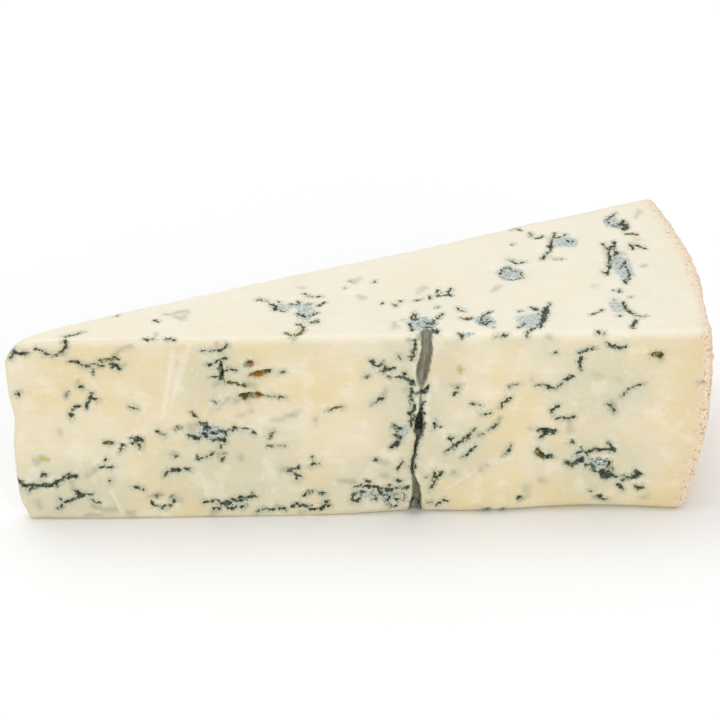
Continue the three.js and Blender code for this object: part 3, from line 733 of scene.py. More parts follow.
# %% [markdown]
# ## Crumbs, powder, haze and knife drags
#
# In a cluster the mould breaks into loose dark crumbs. Where it has had air it is a blue-grey powder. Around
# big clusters the paste itself turns greyish and a little see-through, far wider than the veins. All three
# are patches here: a middle, two half sizes and, for crumbs, how dense they are. The knife leaves its own
# marks, low pale ridges where it dragged soft paste.

# %% Patches and drags
FRONT_CRUMBS = [
    (80.7, 26, 0.9, 4.2, 0.62),
    (80.9, 22, 0.9, 1.8, 0.7),
    (82.2, 21.2, 0.9, 2, 0.9),
    (78, 19.4, 1.4, 1.8, 0.62),
    (81, 4.6, 1.1, 3.6, 0.52),
    (74.4, 5.3, 4.3, 1.7, 0.6),
    (75.2, 34.3, 2, 1, 0.58),
    (79.2, 31.9, 1.8, 0.8, 0.58),
    (40.8, 19.9, 3.2, 1.9, 0.6),
    (44.8, 3.4, 4.4, 1.1, 0.6),
    (60.2, 2.6, 4, 0.9, 0.58),
    (22.8, 35.9, 1.1, 1.3, 0.62),
    (14.6, 5.9, 1.4, 0.8, 0.58),
    (26.3, 17.8, 1.2, 1.2, 0.55),
    (117.6, 11.2, 3.2, 2.6, 0.7),
    (113, 12.4, 2.2, 1.4, 0.6),
    (123.6, 8.2, 2.4, 1.1, 0.66),
    (107, 19, 1.4, 0.7, 0.6),
    (90.6, 16.6, 1.2, 1.2, 0.5),
]
TOP_CRUMBS = [
    (59.8, -4, 1.6, 3.6, 0.6),
    (54.9, 0.7, 1, 1.5, 0.58),
    (83.5, -8, 2.4, 2.6, 0.62),
    (85.6, -10.3, 0.8, 1.1, 0.85),
    (88.6, -0.9, 1.5, 1.4, 0.56),
    (95.6, -8, 1.6, 1.6, 0.6),
    (106.7, -7.8, 1.5, 3.2, 0.64),
    (102.8, 2.2, 2, 1.8, 0.55),
    (113.8, 6.2, 1.8, 1.4, 0.58),
    (129.4, 7.7, 1.5, 2, 0.64),
    (124.4, 2.4, 1.6, 4.6, 0.6),
    (124.6, -1.2, 1.3, 2, 0.58),
    (123.6, -7.2, 1.4, 2.4, 0.56),
]
FRONT_POWDER = [
    (40.6, 19.8, 3.4, 1.9),
    (79.2, 19.8, 0.9, 1.5),
    (75.4, 4.4, 1.2, 1),
    (71.8, 5.2, 1.8, 0.9),
    (117, 11.8, 1.9, 1.2),
    (113.5, 13.2, 1.3, 0.9),
    (91.8, 41.6, 1.6, 0.7),
    (83.8, 40.8, 0.9, 0.7),
]
TOP_POWDER = [
    (60.8, -2, 1.9, 3.3),
    (56.7, 0.3, 2, 1.5),
    (83, -8.2, 2.6, 3.2),
    (95.5, -8, 2, 2),
    (104.2, -8.5, 3, 3),
    (103, 1.9, 2.6, 2.4),
    (117, 6.3, 2.3, 2.2),
    (128.3, 8.5, 1.8, 2.6),
    (125, 0.5, 2, 5),
    (121.5, -6.5, 1.5, 2),
]
FRONT_HAZE = [
    (12, 6, 14, 8),
    (45, 11, 15, 11),
    (42, 33, 8, 7),
    (118, 29, 10, 9),
    (117, 12, 11, 8),
    (75, 7, 11, 8),
    (81, 25, 8, 22),
    (89, 15, 8, 7),
]
TOP_HAZE = [
    (60, -2, 8, 9),
    (83, -6, 12, 10),
    (105, -8, 7, 7),
    (104, 3, 8, 7),
    (125, 0, 9, 22),
]
FRONT_DRAGS = [
    (1.0, [(34.3, 38.8), (31.6, 23.4)]),
    (0.9, [(37.8, 41.6), (35.8, 33.7), (34, 28.9)]),
    (0.6, [(36.2, 39), (33.4, 26)]),
    (0.7, [(20.8, 6.9), (23.1, 1.3)]),
    (0.7, [(38.5, 11.4), (40.1, 4.5)]),
    (0.5, [(45.3, 29.4), (41.1, 24.3)]),
    (0.5, [(82.4, 40.6), (82.5, 39), (82.4, 37.4)]),
    (0.5, [(80.3, 35.6), (81.3, 34.6), (81.5, 33.2), (81.5, 31.6)]),
    (0.9, [(84.4, 30.2), (83.9, 26.5), (83.4, 22)]),
    (0.5, [(81.6, 27.4), (81.9, 25.6), (81.7, 24)]),
    (0.5, [(87.1, 6.2), (93.2, 10.5)]),
    (0.5, [(107.3, 32.2), (108.8, 33.1), (110.3, 33.4), (111.5, 32.7)]),
    (0.5, [(120.8, 41.5), (124.5, 40)]),
]

# %% [markdown]
# ## Veins on the sides that the photo hides
#
# The back and the underside are cut from the same cheese, so they get veins of the same kind, grown by a
# small seeded walk: clusters of short strokes that wander mostly level, thick in the middle of a cluster.

# %% Grow the hidden veins
def grow_veins(seed, clusters, place):
    """place(rng) gives a cluster's middle on the flat map. Returns strokes and patches, by kind."""
    rng = random.Random(seed)
    grown = {"dark": [], "olive": [], "faint": [], "powder": [], "crumbs": []}
    for _ in range(clusters):
        middle = place(rng)
        spread = rng.choice([0.8, 1.2, 2.2, 3.6])
        for _ in range(rng.randint(1, 2 + int(2 * spread))):
            u = middle[0] + rng.gauss(0, spread)
            v = middle[1] + rng.gauss(0, spread * 0.6)
            heading = rng.gauss(0, 0.7) + rng.choice([0, math.pi])
            path = [(u, v)]
            for _ in range(rng.randint(1, 5)):
                step = rng.uniform(0.6, 1.8)
                heading += rng.gauss(0, 0.55)
                u += step * math.cos(heading)
                v += step * math.sin(heading)
                path.append((u, v))
            kind = rng.choices(["dark", "faint", "olive"], [0.74, 0.2, 0.06])[0]
            grown[kind].append((rng.choice([0.3, 0.4, 0.5, 0.7, 0.9]), path))
        if spread > 2:
            grown["crumbs"].append((*middle, spread * 0.8, spread * 0.45, 0.58))
            if rng.random() < 0.7:
                grown["powder"].append((*middle, spread * 0.8, spread * 0.5))
    return grown


def place_on_back(rng):
    return rng.uniform(6, 133), rng.uniform(3, 39)


def place_on_bottom(rng):
    x = math.sqrt(rng.uniform(15**2, 130**2))
    return x, rng.uniform(-0.9, 0.9) * half_width_at(x)


on_back = grow_veins(7, 44, place_on_back)
on_bottom = grow_veins(12, 34, place_on_bottom)
print("hidden strokes:", len(on_back["dark"]), "on the back,", len(on_bottom["dark"]), "underneath")

# %% Gather them by kind and face
STROKES = {
    "dark": {"front": FRONT_DARK, "top": TOP_DARK},
    "olive": {"front": FRONT_OLIVE, "top": TOP_OLIVE},
    "amber": {"front": FRONT_AMBER, "top": TOP_AMBER},
    "yellow": {"front": FRONT_YELLOW},
    "faint": {"front": FRONT_FAINT, "top": TOP_FAINT},
    "drag": {"front": FRONT_DRAGS},
}
PATCHES = {
    "crumbs": {"front": FRONT_CRUMBS, "top": TOP_CRUMBS},
    "powder": {"front": FRONT_POWDER, "top": TOP_POWDER},
    "haze": {"front": FRONT_HAZE, "top": TOP_HAZE},
}
for faces in STROKES.values():
    if "top" in faces:
        faces["top"] = [(width, polar(path)) for width, path in faces["top"]]
for faces in PATCHES.values():
    faces["top"] = [(*polar([patch[:2]])[0], *patch[2:]) for patch in faces["top"]]
for face, grown in (("back", on_back), ("bottom", on_bottom)):
    for kind in ("dark", "olive", "faint"):
        STROKES[kind][face] = grown[kind]
    for kind in ("crumbs", "powder"):
        PATCHES[kind][face] = grown[kind]

# %% [markdown]
# ## How far is each point from a vein?
#
# The mesh stores a distance, not a colour: how many millimetres a point is from the edge of the nearest
# stroke, below zero inside it. A distance runs smoothly between the points of a mesh, so a material can
# draw a sharp, ragged edge from it that is much finer than the mesh itself.

# %% Distances
REACH = 4.0
SLACK = 0.7
WANDER = 0.32
WANDER_SIZE = 1.5


def rough(points, size, seed, detail=1):
    """Smooth noise from about -1 to 1 with bumps of the given size in millimetres."""
    shift = Vector((seed * 17.3, seed * 5.7, seed * 11.9))
    values = np.zeros(len(points))
    strength = 1
    for level in range(detail):
        scale = 2**level / size
        values += strength * np.array([noise.noise(Vector(p) * scale + shift) for p in points])
        strength *= 0.5
    return values


def stroke_distance(flat, width, path):
    """The points that one stroke can reach and their distance from its edge. Its ends are thinner."""
    places = np.array(path)
    low = places.min(0) - REACH
    high = places.max(0) + REACH
    near = np.flatnonzero(
        (flat[:, 0] > low[0])
        & (flat[:, 0] < high[0])
        & (flat[:, 1] > low[1])
        & (flat[:, 1] < high[1])
        & (flat[:, 2] < REACH)
    )
    spots = flat[near]
    below = np.maximum(0, np.abs(spots[:, 2]) - SLACK)
    steps = np.hypot(*(places[1:] - places[:-1]).T)
    whole = max(steps.sum(), 1e-6)
    best = np.full(len(near), 1e3)
    run = 0
    for start, end, step in zip(places[:-1], places[1:], steps):
        line = end - start
        share = np.clip(((spots[:, :2] - start) @ line) / max(line @ line, 1e-9), 0, 1)
        gap = np.hypot(*(spots[:, :2] - start - share[:, None] * line).T)
        where = (run + share * step) / whole
        half = width / 2 * (0.55 + 0.45 * np.sin(math.pi * where) ** 0.5)
        best = np.minimum(best, np.hypot(gap, below) - half)
        run += step
    return near, best


def wander(points):
    """Shifts on the flat maps that make a smooth path ragged."""
    u = rough(points, WANDER_SIZE, 1, 2)
    v = rough(points, WANDER_SIZE, 2, 2)
    return np.stack([u, v, np.zeros(len(points))], 1) * WANDER


def distance_to(kind, maps, shift):
    """Distance from the nearest stroke of a kind, and how thickly crumbs lie there."""
    found = np.full(len(shift), REACH)
    crumbs = np.zeros(len(shift))
    for face, strokes in STROKES[kind].items():
        flat = maps[face] + shift
        for width, path in strokes:
            near, best = stroke_distance(flat, width, path)
            found[near] = np.minimum(found[near], best)
            spread = 0.3 + 0.35 * width
            density = (0.42 + 0.3 * width) * np.exp(-((np.maximum(best, 0) / spread) ** 2))
            crumbs[near] = np.maximum(crumbs[near], density)
    return found, crumbs


# %% [markdown]
# ## More mesh where the detail is
#
# Many veins are under half a millimetre wide, and the grid's rows are a millimetre apart. Cutting the whole
# mesh finer would cost millions of faces, so only edges near something fine are cut in half, two or three
# times over. `subdivide_edges` fits the new faces to their coarser neighbours.

# %% The pierced hole and the gaps between curds
# Height, distance from the wheel's middle, half of the hole's opening on the cut, and its depth.
PIERCED = np.array(
    [
        (0, 80.7, 1.5, 3.4),
        (1.6, 80.8, 1.2, 3),
        (4, 81.2, 1.05, 2.4),
        (7, 81.2, 0.8, 2),
        (9.2, 80.7, 0.35, 1.2),
        (11, 80.4, 0.25, 1),
        (15, 81, 0.27, 1),
        (17, 81.4, 0.32, 1.2),
        (18.3, 81.9, 0.6, 2.4),
        (20, 81.9, 0.9, 3),
        (22.5, 82.1, 0.65, 2.4),
        (24, 82.3, 0.3, 1),
        (27, 82.4, 0.25, 0.9),
        (29.5, 82.6, 0.4, 1),
        (30.5, 82.7, 0.8, 1.6),
        (31.3, 82.8, 1.1, 2.4),
        (32.4, 82.9, 1.2, 2.6),
        (34.2, 83.1, 1.37, 2.8),
        (36, 83.5, 1.3, 2.8),
        (38.2, 83.9, 1.12, 2.8),
        (40.5, 83.85, 1.08, 2.8),
        (HEIGHT, 83.7, 1.5, 2.8),
    ]
)
GAPS = [
    (43.5, 34.4, 0.5, 1.6, 1.4, 0.1),
    (48.9, 35.7, 1, 0.6, 1.5, 0.5),
    (51.2, 33.7, 2.2, 0.5, 1.5, 0.25),
    (49.2, 28.5, 2.4, 0.65, 1.9, 0),
    (106.4, 19.3, 1.4, 0.6, 1.4, 0.3),
    (105.6, 13.8, 1.3, 0.7, 1.5, -0.3),
    (118.6, 9.4, 1.2, 1, 1.4, 0),
    (129, 36.3, 1.1, 0.6, 1.3, 0.2),
]


def pierced_hole(height):
    """Radius, half width and depth of the hole that was pierced into the wheel, at a height."""
    return [np.interp(height, PIERCED[:, 0], PIERCED[:, column]) for column in (1, 2, 3)]


def hole_distance(flat):
    """Distance from the hole's edge on the front cut, in millimetres, below zero inside it."""
    radius, half_width, depth = pierced_hole(flat[:, 1])
    sideways = np.abs(flat[:, 0] - radius) - half_width
    outside = np.hypot(np.maximum(sideways, 0), np.maximum(flat[:, 2] - depth, 0))
    return np.where(flat[:, 2] < 5, outside + np.minimum(sideways, 0), REACH)


def gap_share(flat, gap):
    """0 at a gap's middle and 1 at its edge."""
    radius, height, long, tall, _, tilt = gap
    u = flat[:, 0] - radius
    v = flat[:, 1] - height
    along = u * math.cos(tilt) + v * math.sin(tilt)
    up = v * math.cos(tilt) - u * math.sin(tilt)
    return np.hypot(along / long, up / tall)


# %% Cut the edges that need it
SHOWN_STEP = 0.27
HIDDEN_STEP = 0.45
WIDE_STEP = 0.6
PLAIN_STEP = 1.2
RIND_STEP = 0.8
OPEN_KINDS = ("dark", "olive", "amber", "yellow")


def wanted_step(points):
    """The length of edge that the detail at each point asks for."""
    maps = face_maps(points)
    shift = wander(points)
    drawn = np.min([distance_to(kind, maps, shift)[0] for kind in OPEN_KINDS], 0)
    hole = hole_distance(maps["front"])
    drags = distance_to("drag", maps, shift)[0]
    shown = (maps["front"][:, 2] < 4) | (maps["top"][:, 2] < 1)
    finest = np.where(shown, SHOWN_STEP, HIDDEN_STEP)
    step = np.full(len(points), PLAIN_STEP)
    radius = np.hypot(points[:, 0] - APEX_X, points[:, 1])
    step = np.where(rim_radius(points[:, 2]) - radius < 2.5, RIND_STEP, step)
    step = np.where((drawn < 1.2) | (drags < 0.5), WIDE_STEP, step)
    step = np.where((drawn < 0.3) | (np.abs(hole) < 0.9), finest, step)
    for gap in GAPS:
        inside = (maps["front"][:, 2] < 3) & (gap_share(maps["front"], gap) < 1.6)
        step = np.where(inside, SHOWN_STEP, step)
    return step


def cut_long_edges(mesh):
    work = bmesh.new()
    work.from_mesh(mesh)
    work.edges.ensure_lookup_table()
    ends = np.array([[*e.verts[0].co, *e.verts[1].co] for e in work.edges])
    middle = (ends[:, :3] + ends[:, 3:]) / 2
    length = np.linalg.norm(ends[:, 3:] - ends[:, :3], axis=1)
    chosen = np.flatnonzero(length > wanted_step(middle) * 1.35)
    edges = [work.edges[int(i)] for i in chosen]
    bmesh.ops.subdivide_edges(work, edges=edges, cuts=1, use_grid_fill=True, use_single_edge=True)
    bmesh.ops.triangulate(work, faces=work.faces)
    work.to_mesh(mesh)
    work.free()
    return len(chosen)


for turn in range(3):
    cut = cut_long_edges(wedge_mesh)
    print("turn", turn + 1, "cut", cut, "edges:", len(wedge_mesh.polygons), "triangles")

# %% [markdown]
# ## What each point of the surface knows
#
# Now the fine mesh is measured once. Each measure becomes an attribute of the mesh, a number at every point,
# which the material reads by name. Patches get a soft, uneven edge.

# %% Measure the surface
points = read_points(wedge_mesh)
maps = face_maps(points)
shift = wander(points)
uneven = rough(points, 2.5, 5, 2)


def patch_cover(kind, softness):
    cover = np.zeros(len(points))
    for face, patches in PATCHES[kind].items():
        flat = maps[face]
        for u, v, wide, tall, *density in patches:
            away = np.hypot((flat[:, 0] - u) / wide, (flat[:, 1] - v) / tall)
            away = np.hypot(away, np.maximum(0, flat[:, 2] - SLACK) / min(wide, tall)) + 0.3 * uneven
            share = 1 - smoothstep(away, 1 - softness, 1 + softness)
            cover = np.maximum(cover, share * (density[0] if density else 1))
    return cover


def takes_over(one, other):
    """1 where the first kind of stroke is nearer than the other, 0 where it isn't, soft between."""
    return 1 - smoothstep(one - other, -0.3, 0.3)


dark, crumbs = distance_to("dark", maps, shift)
olive = distance_to("olive", maps, shift)[0]
amber = distance_to("amber", maps, shift)[0]
yellow = distance_to("yellow", maps, shift)[0]
faint = distance_to("faint", maps, shift)[0]
drag = distance_to("drag", maps, shift * 0.6)[0]
vein = np.min([dark, olive, amber, yellow], 0)
powder = patch_cover("powder", 0.35)
near_veins = np.exp(-((np.maximum(np.minimum(vein, faint), 0) / 1.9) ** 2))
haze = np.clip(0.75 * patch_cover("haze", 0.6) + 0.3 * near_veins, 0, 1)
radius = np.hypot(points[:, 0] - APEX_X, points[:, 1])
rim_gap = np.clip(rim_radius(points[:, 2]) - radius, 0, 14)
# upper marks the upper cut; the material uses it to paint the top paler, as painted light from above.
upper = 1 - smoothstep(maps["top"][:, 2], 0.1, 2.2)
measures = {
    "vein": vein,
    "olive": takes_over(olive, dark),
    "amber": takes_over(amber, np.minimum(dark, olive)),
    "yellow": takes_over(yellow, np.minimum(dark, olive)),
    "faint": np.exp(-((np.maximum(faint, 0) / 0.45) ** 2)),
    "crumbs": np.maximum(np.maximum(crumbs, patch_cover("crumbs", 0.4)), 0.5 * powder),
    "powder": powder,
    "haze": haze,
    "drag": 1 - smoothstep(drag, -0.3, 0.25),
    "rim_gap": rim_gap,
    "upper": upper,
}
print("inside a vein:", int((vein < 0).sum()), "of", len(points), "points")

# %% [markdown]
# ## Relief
#
# Paste cut with a knife is never flat. Curds stand a little proud of each other, the veins are shallow
# valleys, a drag is a low ridge, and the rind is rough from salting and from the cloth it lay in. The points
# move along their normals, inwards on the whole, so that the mesh stays inside the solid's box.

# %% Push the relief
normals = np.empty(len(points) * 3)
wedge_mesh.vertices.foreach_get("normal", normals)
normals = normals.reshape(-1, 3)
VEIN_DEPTH = 0.22
POWDER_DEPTH = 0.12
DRAG_RIDGE = 0.12
RIND_ROUGHNESS = 0.42
RIM_WORN = 0.8

curds = 0.12 * rough(points, 7, 11) + 0.07 * rough(points, 2.6, 12, 2) - 0.12
grains = 0.5 + 0.5 * rough(points, 0.8, 13)
recess = -VEIN_DEPTH * (1 - smoothstep(vein, -0.25, 0.3)) - POWDER_DEPTH * powder * grains
ridge = DRAG_RIDGE * measures["drag"]
is_rind = 1 - smoothstep(rim_gap, 0.3, 1.6)
crust = RIND_ROUGHNESS * (0.6 * rough(points, 2.4, 21, 2) + 0.4 * rough(points, 0.9, 22) - 0.5)
degrees = np.degrees(np.arctan2(points[:, 1], points[:, 0] - APEX_X))
worn = hump(degrees, -6.5, 4.5) * smoothstep(points[:, 2], 34, 40)
crust -= RIM_WORN * worn + 0.3 * (1 + rough(points, 9, 23))
push = lerp(curds + recess + ridge, crust, is_rind)
resting = smoothstep(-normals[:, 2], 0.6, 0.95)
push = lerp(push, np.minimum(recess, 0), resting)
points = points + normals * push[:, None]

# %% [markdown]
# ## The pierced hole and the gaps
#
# Cheesemakers pierce the wheel with thick needles so that the mould can breathe. This cut ran along one of
# those holes, so it shows as a channel that opens and closes. A point of the front that lies inside the
# hole's outline moves back to its wall. The gaps between curds are cut by the same rule.

# %% Carve them
def push_back(points, amount):
    """Moves points straight into the front cut, in millimetres."""
    turn = WEDGE_ANGLE / 2
    inwards = np.array([math.sin(turn), math.cos(turn), 0])
    return points + amount[:, None] * inwards


flat = radial_map(points, -1)
hole_radius, half_width, depth = pierced_hole(flat[:, 1])
ragged = half_width * (1 + 0.2 * rough(points, 1.3, 31, 2)) + 0.1 * rough(points, 0.7, 32)
across_hole = np.clip(np.abs(flat[:, 0] - hole_radius) / ragged, 0, 1)
wall = depth * (1 + 0.12 * rough(points, 1.6, 33, 2)) * np.sqrt(1 - across_hole**2)
in_hole = (across_hole < 1) & (flat[:, 2] < wall)
points = push_back(points, np.where(in_hole, wall - flat[:, 2], 0))
measures["hole"] = np.where(in_hole, smoothstep(wall, 0.2, 1.2), 0)
for gap in GAPS:
    flat = radial_map(points, -1)
    share = gap_share(flat, gap) * (1 + 0.18 * rough(points, 0.9, 34))
    wall = gap[4] * np.sqrt(1 - np.clip(share, 0, 1) ** 2)
    inside = (share < 1) & (flat[:, 2] < wall)
    points = push_back(points, np.where(inside, wall - flat[:, 2], 0))
    print("gap at", gap[:2], "moved", int(inside.sum()), "points")
low = np.array(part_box("cheese_wedge")[0]) / MM
high = np.array(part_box("cheese_wedge")[1]) / MM
points = np.clip(points, low, high)

# %% Hand the piece over
write_points(wedge_mesh, points * MM)
for name, values in measures.items():
    attribute = wedge_mesh.attributes.new(name, "FLOAT", "POINT")
    attribute.data.foreach_set("value", values.astype(np.float32))
wedge_mesh.polygons.foreach_set("use_smooth", [True] * len(wedge_mesh.polygons))
wedge = bpy.data.objects.new("cheese_paste_wedge", wedge_mesh)
bpy.context.scene.collection.objects.link(wedge)
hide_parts("cheese_wedge")
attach(wedge, "root")
print("wedge:", len(wedge_mesh.polygons), "triangles")

# %% [markdown]
# ## Colours and nodes
#
# Colours are picked as they look on a screen, as hex values, and turned to the linear values that the
# renderer works with. One small function adds a node, sets it and links it, and gives back its output.

# %% Helpers for the material
def linear(code):
    """A hex colour as it looks on a screen, as linear red, green, blue and alpha."""
    values = [int(code[i : i + 2], 16) / 255 for i in (0, 2, 4)]
    return [v / 12.92 if v <= 0.04045 else ((v + 0.055) / 1.055) ** 2.4 for v in values] + [1]


def add(tree, kind, settings=None, inputs=None, out=None):
    """Adds a node, sets its options and fills or links its inputs. Returns one of its outputs."""
    node = tree.nodes.new(kind)
    for name, value in (settings or {}).items():
        setattr(node, name, value)
    for key, value in (inputs or {}).items():
        sockets = [s for s in node.inputs if s.enabled]
        socket = node.inputs[key] if isinstance(key, int) else next(s for s in sockets if s.name == key)
        if isinstance(value, bpy.types.NodeSocket):
            tree.links.new(value, socket)
        else:
            socket.default_value = value
    if out:
        return node.outputs[out]
    return next((s for s in node.outputs if s.enabled), None)


MIX = "ShaderNodeMix"
COLOUR = {"data_type": "RGBA"}
MATHS = "ShaderNodeMath"
TIMES = {"operation": "MULTIPLY"}
TIMES_PLUS = {"operation": "MULTIPLY_ADD"}
GREATER = {"operation": "MAXIMUM"}
RANGE = "ShaderNodeMapRange"
SOFT = {"interpolation_type": "SMOOTHSTEP"}
NOISE = "ShaderNodeTexNoise"

# %% [markdown]
# ## The paste
#
# Gorgonzola is a moist, soft curd with about 30 percent fat. Light goes a few millimetres into it, which
# makes it creamy, and its cut surface has a satin sheen. The colour is warm where the paste is clean, and
# turns greyish and a little green near the mould. The patterns are scaled in millimetres: the object's
# coordinates are metres, so a Mapping node multiplies them by 1000 first.

# %% Patterns
material = bpy.data.materials.new("gorgonzola_paste_and_rind")
material.use_nodes = True
tree = material.node_tree
tree.nodes.clear()
place = add(tree, "ShaderNodeTexCoord", out="Object")
mm = add(tree, "ShaderNodeMapping", inputs={"Vector": place, "Scale": (1000, 1000, 1000)})
known = {}
for name in measures:
    known[name] = add(tree, "ShaderNodeAttribute", {"attribute_name": name}, out="Fac")
SIZES = {"zones": 15, "clouds": 4.5, "curd": 1.6, "crumb": 0.75, "grain": 0.28}
pattern = {}
for name, size in SIZES.items():
    pattern[name] = add(
        tree, NOISE, inputs={"Vector": mm, "Scale": 1 / size, "Detail": 3, "Roughness": 0.55}
    )
pattern["speck"] = add(tree, NOISE, inputs={"Vector": mm, "Scale": 1 / 0.6, "Detail": 4, "Roughness": 0.7})

# A knife smears soft paste lengthwise, and a needle leaves upright stripes in its hole.
SMEAR = (1000 / 7, 1000 / 7, 1000 / 0.9)
STRIPES = (1000 / 0.5, 1000 / 0.5, 1000 / 5)
smeared = add(tree, "ShaderNodeMapping", inputs={"Vector": place, "Scale": SMEAR})
pattern["smear"] = add(tree, NOISE, inputs={"Vector": smeared, "Scale": 1, "Detail": 4, "Roughness": 0.6})
striped = add(tree, "ShaderNodeMapping", inputs={"Vector": place, "Scale": STRIPES})
pattern["stripe"] = add(tree, NOISE, inputs={"Vector": striped, "Scale": 1, "Detail": 3, "Roughness": 0.6})

# %% Paste colours
CREAM = linear("EADFC2")
WARM = linear("E8D7AC")
PALE = linear("F1EBD9")
GREYISH = linear("D3CFB6")
NEAR_RIND = linear("E2CC9E")
SMEARED = linear("DCCDA4")
SEEN_THROUGH = linear("8E8F78")
zone = add(tree, RANGE, SOFT, {"Value": pattern["zones"], "From Min": 0.4, "From Max": 0.62})
paste = add(tree, MIX, COLOUR, {"Factor": zone, "A": CREAM, "B": WARM})
towards_rim = add(
    tree, RANGE, SOFT, {"Value": known["rim_gap"], "From Min": 2, "From Max": 12, "To Min": 0.7, "To Max": 0}
)
paste = add(tree, MIX, COLOUR, {"Factor": towards_rim, "A": paste, "B": NEAR_RIND})
patchy = add(tree, RANGE, {}, {"Value": pattern["curd"], "From Min": 0.3, "From Max": 0.7, "To Min": 0.7})
veil = add(tree, MATHS, TIMES, {0: known["haze"], 1: patchy})
paste = add(tree, MIX, COLOUR, {"Factor": veil, "A": paste, "B": GREYISH})
pale_curds = add(
    tree, RANGE, SOFT, {"Value": pattern["clouds"], "From Min": 0.5, "From Max": 0.68, "To Max": 0.45}
)
paste = add(tree, MIX, COLOUR, {"Factor": pale_curds, "A": paste, "B": PALE})
streaks = add(tree, RANGE, {}, {"Value": pattern["smear"], "From Min": 0.5, "From Max": 0.7, "To Max": 0.3})
paste = add(tree, MIX, COLOUR, {"Factor": streaks, "A": paste, "B": SMEARED})
# Painted light: the upper cut is painted paler than the other faces, standing in for the stronger light that
# falls on it from above.
painted_top_light = add(tree, MATHS, TIMES, {0: known["upper"], 1: 0.7})
paste = add(tree, MIX, COLOUR, {"Factor": painted_top_light, "A": paste, "B": PALE})
fleck = add(tree, RANGE, {}, {"Value": pattern["crumb"], "From Min": 0.64, "From Max": 0.7, "To Max": 0.5})
paste = add(tree, MIX, COLOUR, {"Factor": fleck, "A": paste, "B": PALE})

# %% [markdown]
# ## The veins
#
# The distance to a vein gets noise of two sizes added before it is cut off sharply, which breaks the edge
# into lobes and crumbs. A wider, softer cut of the same distance gives the stain around each vein, and the
# faint veins are only a stain. Loose crumbs come from a fine noise: the thicker they lie, the more of the
# noise passes. Mould is a green so dark that it reads as black, greyer where it is thin.

# %% Where the mould is
lobes = add(tree, MATHS, TIMES_PLUS, {0: pattern["crumb"], 1: 1.9, 2: known["vein"]})
ragged_vein = add(tree, MATHS, TIMES_PLUS, {0: pattern["grain"], 1: 0.9, 2: lobes})
VEIN_EDGE = 1.42
open_vein = add(
    tree,
    RANGE,
    SOFT,
    {
        "Value": ragged_vein,
        "From Min": VEIN_EDGE - 0.1,
        "From Max": VEIN_EDGE + 0.12,
        "To Min": 1,
        "To Max": 0,
    },
)
loose = add(tree, MATHS, TIMES_PLUS, {0: known["crumbs"], 1: 0.42, 2: pattern["speck"]})
loose = add(tree, RANGE, SOFT, {"Value": loose, "From Min": 0.8, "From Max": 0.86})
mouldy = add(tree, MATHS, GREATER, {0: open_vein, 1: loose})
halo = add(
    tree,
    RANGE,
    SOFT,
    {"Value": ragged_vein, "From Min": VEIN_EDGE, "From Max": VEIN_EDGE + 1.1, "To Min": 0.6, "To Max": 0},
)

# %% Mould
MOULD = linear("2A3024")
MOULD_GREY = linear("5F6B58")
YOUNG = linear("6E5D14")
WHEY = linear("A8741F")
YELLOW = linear("DCC44E")
STAIN = linear("A9AE96")
POWDER = linear("A3B0AC")
POWDER_WHITE = linear("DDE2DC")
HOLE_WALL = linear("A3A192")
HOLE_DARK = linear("6D6D62")
paste = add(tree, MIX, COLOUR, {"Factor": halo, "A": paste, "B": STAIN})
veiled = add(tree, MATHS, TIMES, {0: known["faint"], 1: patchy})
veiled = add(tree, MATHS, TIMES, {0: veiled, 1: 0.5})
paste = add(tree, MIX, COLOUR, {"Factor": veiled, "A": paste, "B": SEEN_THROUGH})
ridge_pale = add(tree, MATHS, TIMES, {0: known["drag"], 1: 0.5})
paste = add(tree, MIX, COLOUR, {"Factor": ridge_pale, "A": paste, "B": PALE})

granules = add(tree, RANGE, {}, {"Value": pattern["grain"], "From Min": 0.48, "From Max": 0.62})
dust = add(tree, MIX, COLOUR, {"Factor": granules, "A": POWDER, "B": POWDER_WHITE})
thick = add(tree, MATHS, TIMES_PLUS, {0: pattern["speck"], 1: 1.6, 2: known["powder"]})
thick = add(tree, RANGE, SOFT, {"Value": thick, "From Min": 1.05, "From Max": 1.55, "To Max": 0.85})
paste = add(tree, MIX, COLOUR, {"Factor": thick, "A": paste, "B": dust})
wall_tone = add(tree, RANGE, {}, {"Value": pattern["stripe"], "From Min": 0.4, "From Max": 0.62})
wall_paint = add(tree, MIX, COLOUR, {"Factor": wall_tone, "A": HOLE_DARK, "B": HOLE_WALL})
in_channel = add(tree, MATHS, TIMES, {0: known["hole"], 1: 0.85})
paste = add(tree, MIX, COLOUR, {"Factor": in_channel, "A": paste, "B": wall_paint})

thin = add(tree, RANGE, SOFT, {"Value": pattern["speck"], "From Min": 0.44, "From Max": 0.62})
mould = add(tree, MIX, COLOUR, {"Factor": thin, "A": MOULD, "B": MOULD_GREY})
mould = add(tree, MIX, COLOUR, {"Factor": known["olive"], "A": mould, "B": YOUNG})
mould = add(tree, MIX, COLOUR, {"Factor": known["amber"], "A": mould, "B": WHEY})
mould = add(tree, MIX, COLOUR, {"Factor": known["yellow"], "A": mould, "B": YELLOW})
paste = add(tree, MIX, COLOUR, {"Factor": mouldy, "A": paste, "B": mould})

# %% [markdown]
# ## The rind
#
# The rind of this cheese is washed with brine and dries to a thin, gritty crust, pinkish cream with ochre
# and white specks. It is no separate layer: within three or four millimetres it passes into the paste.

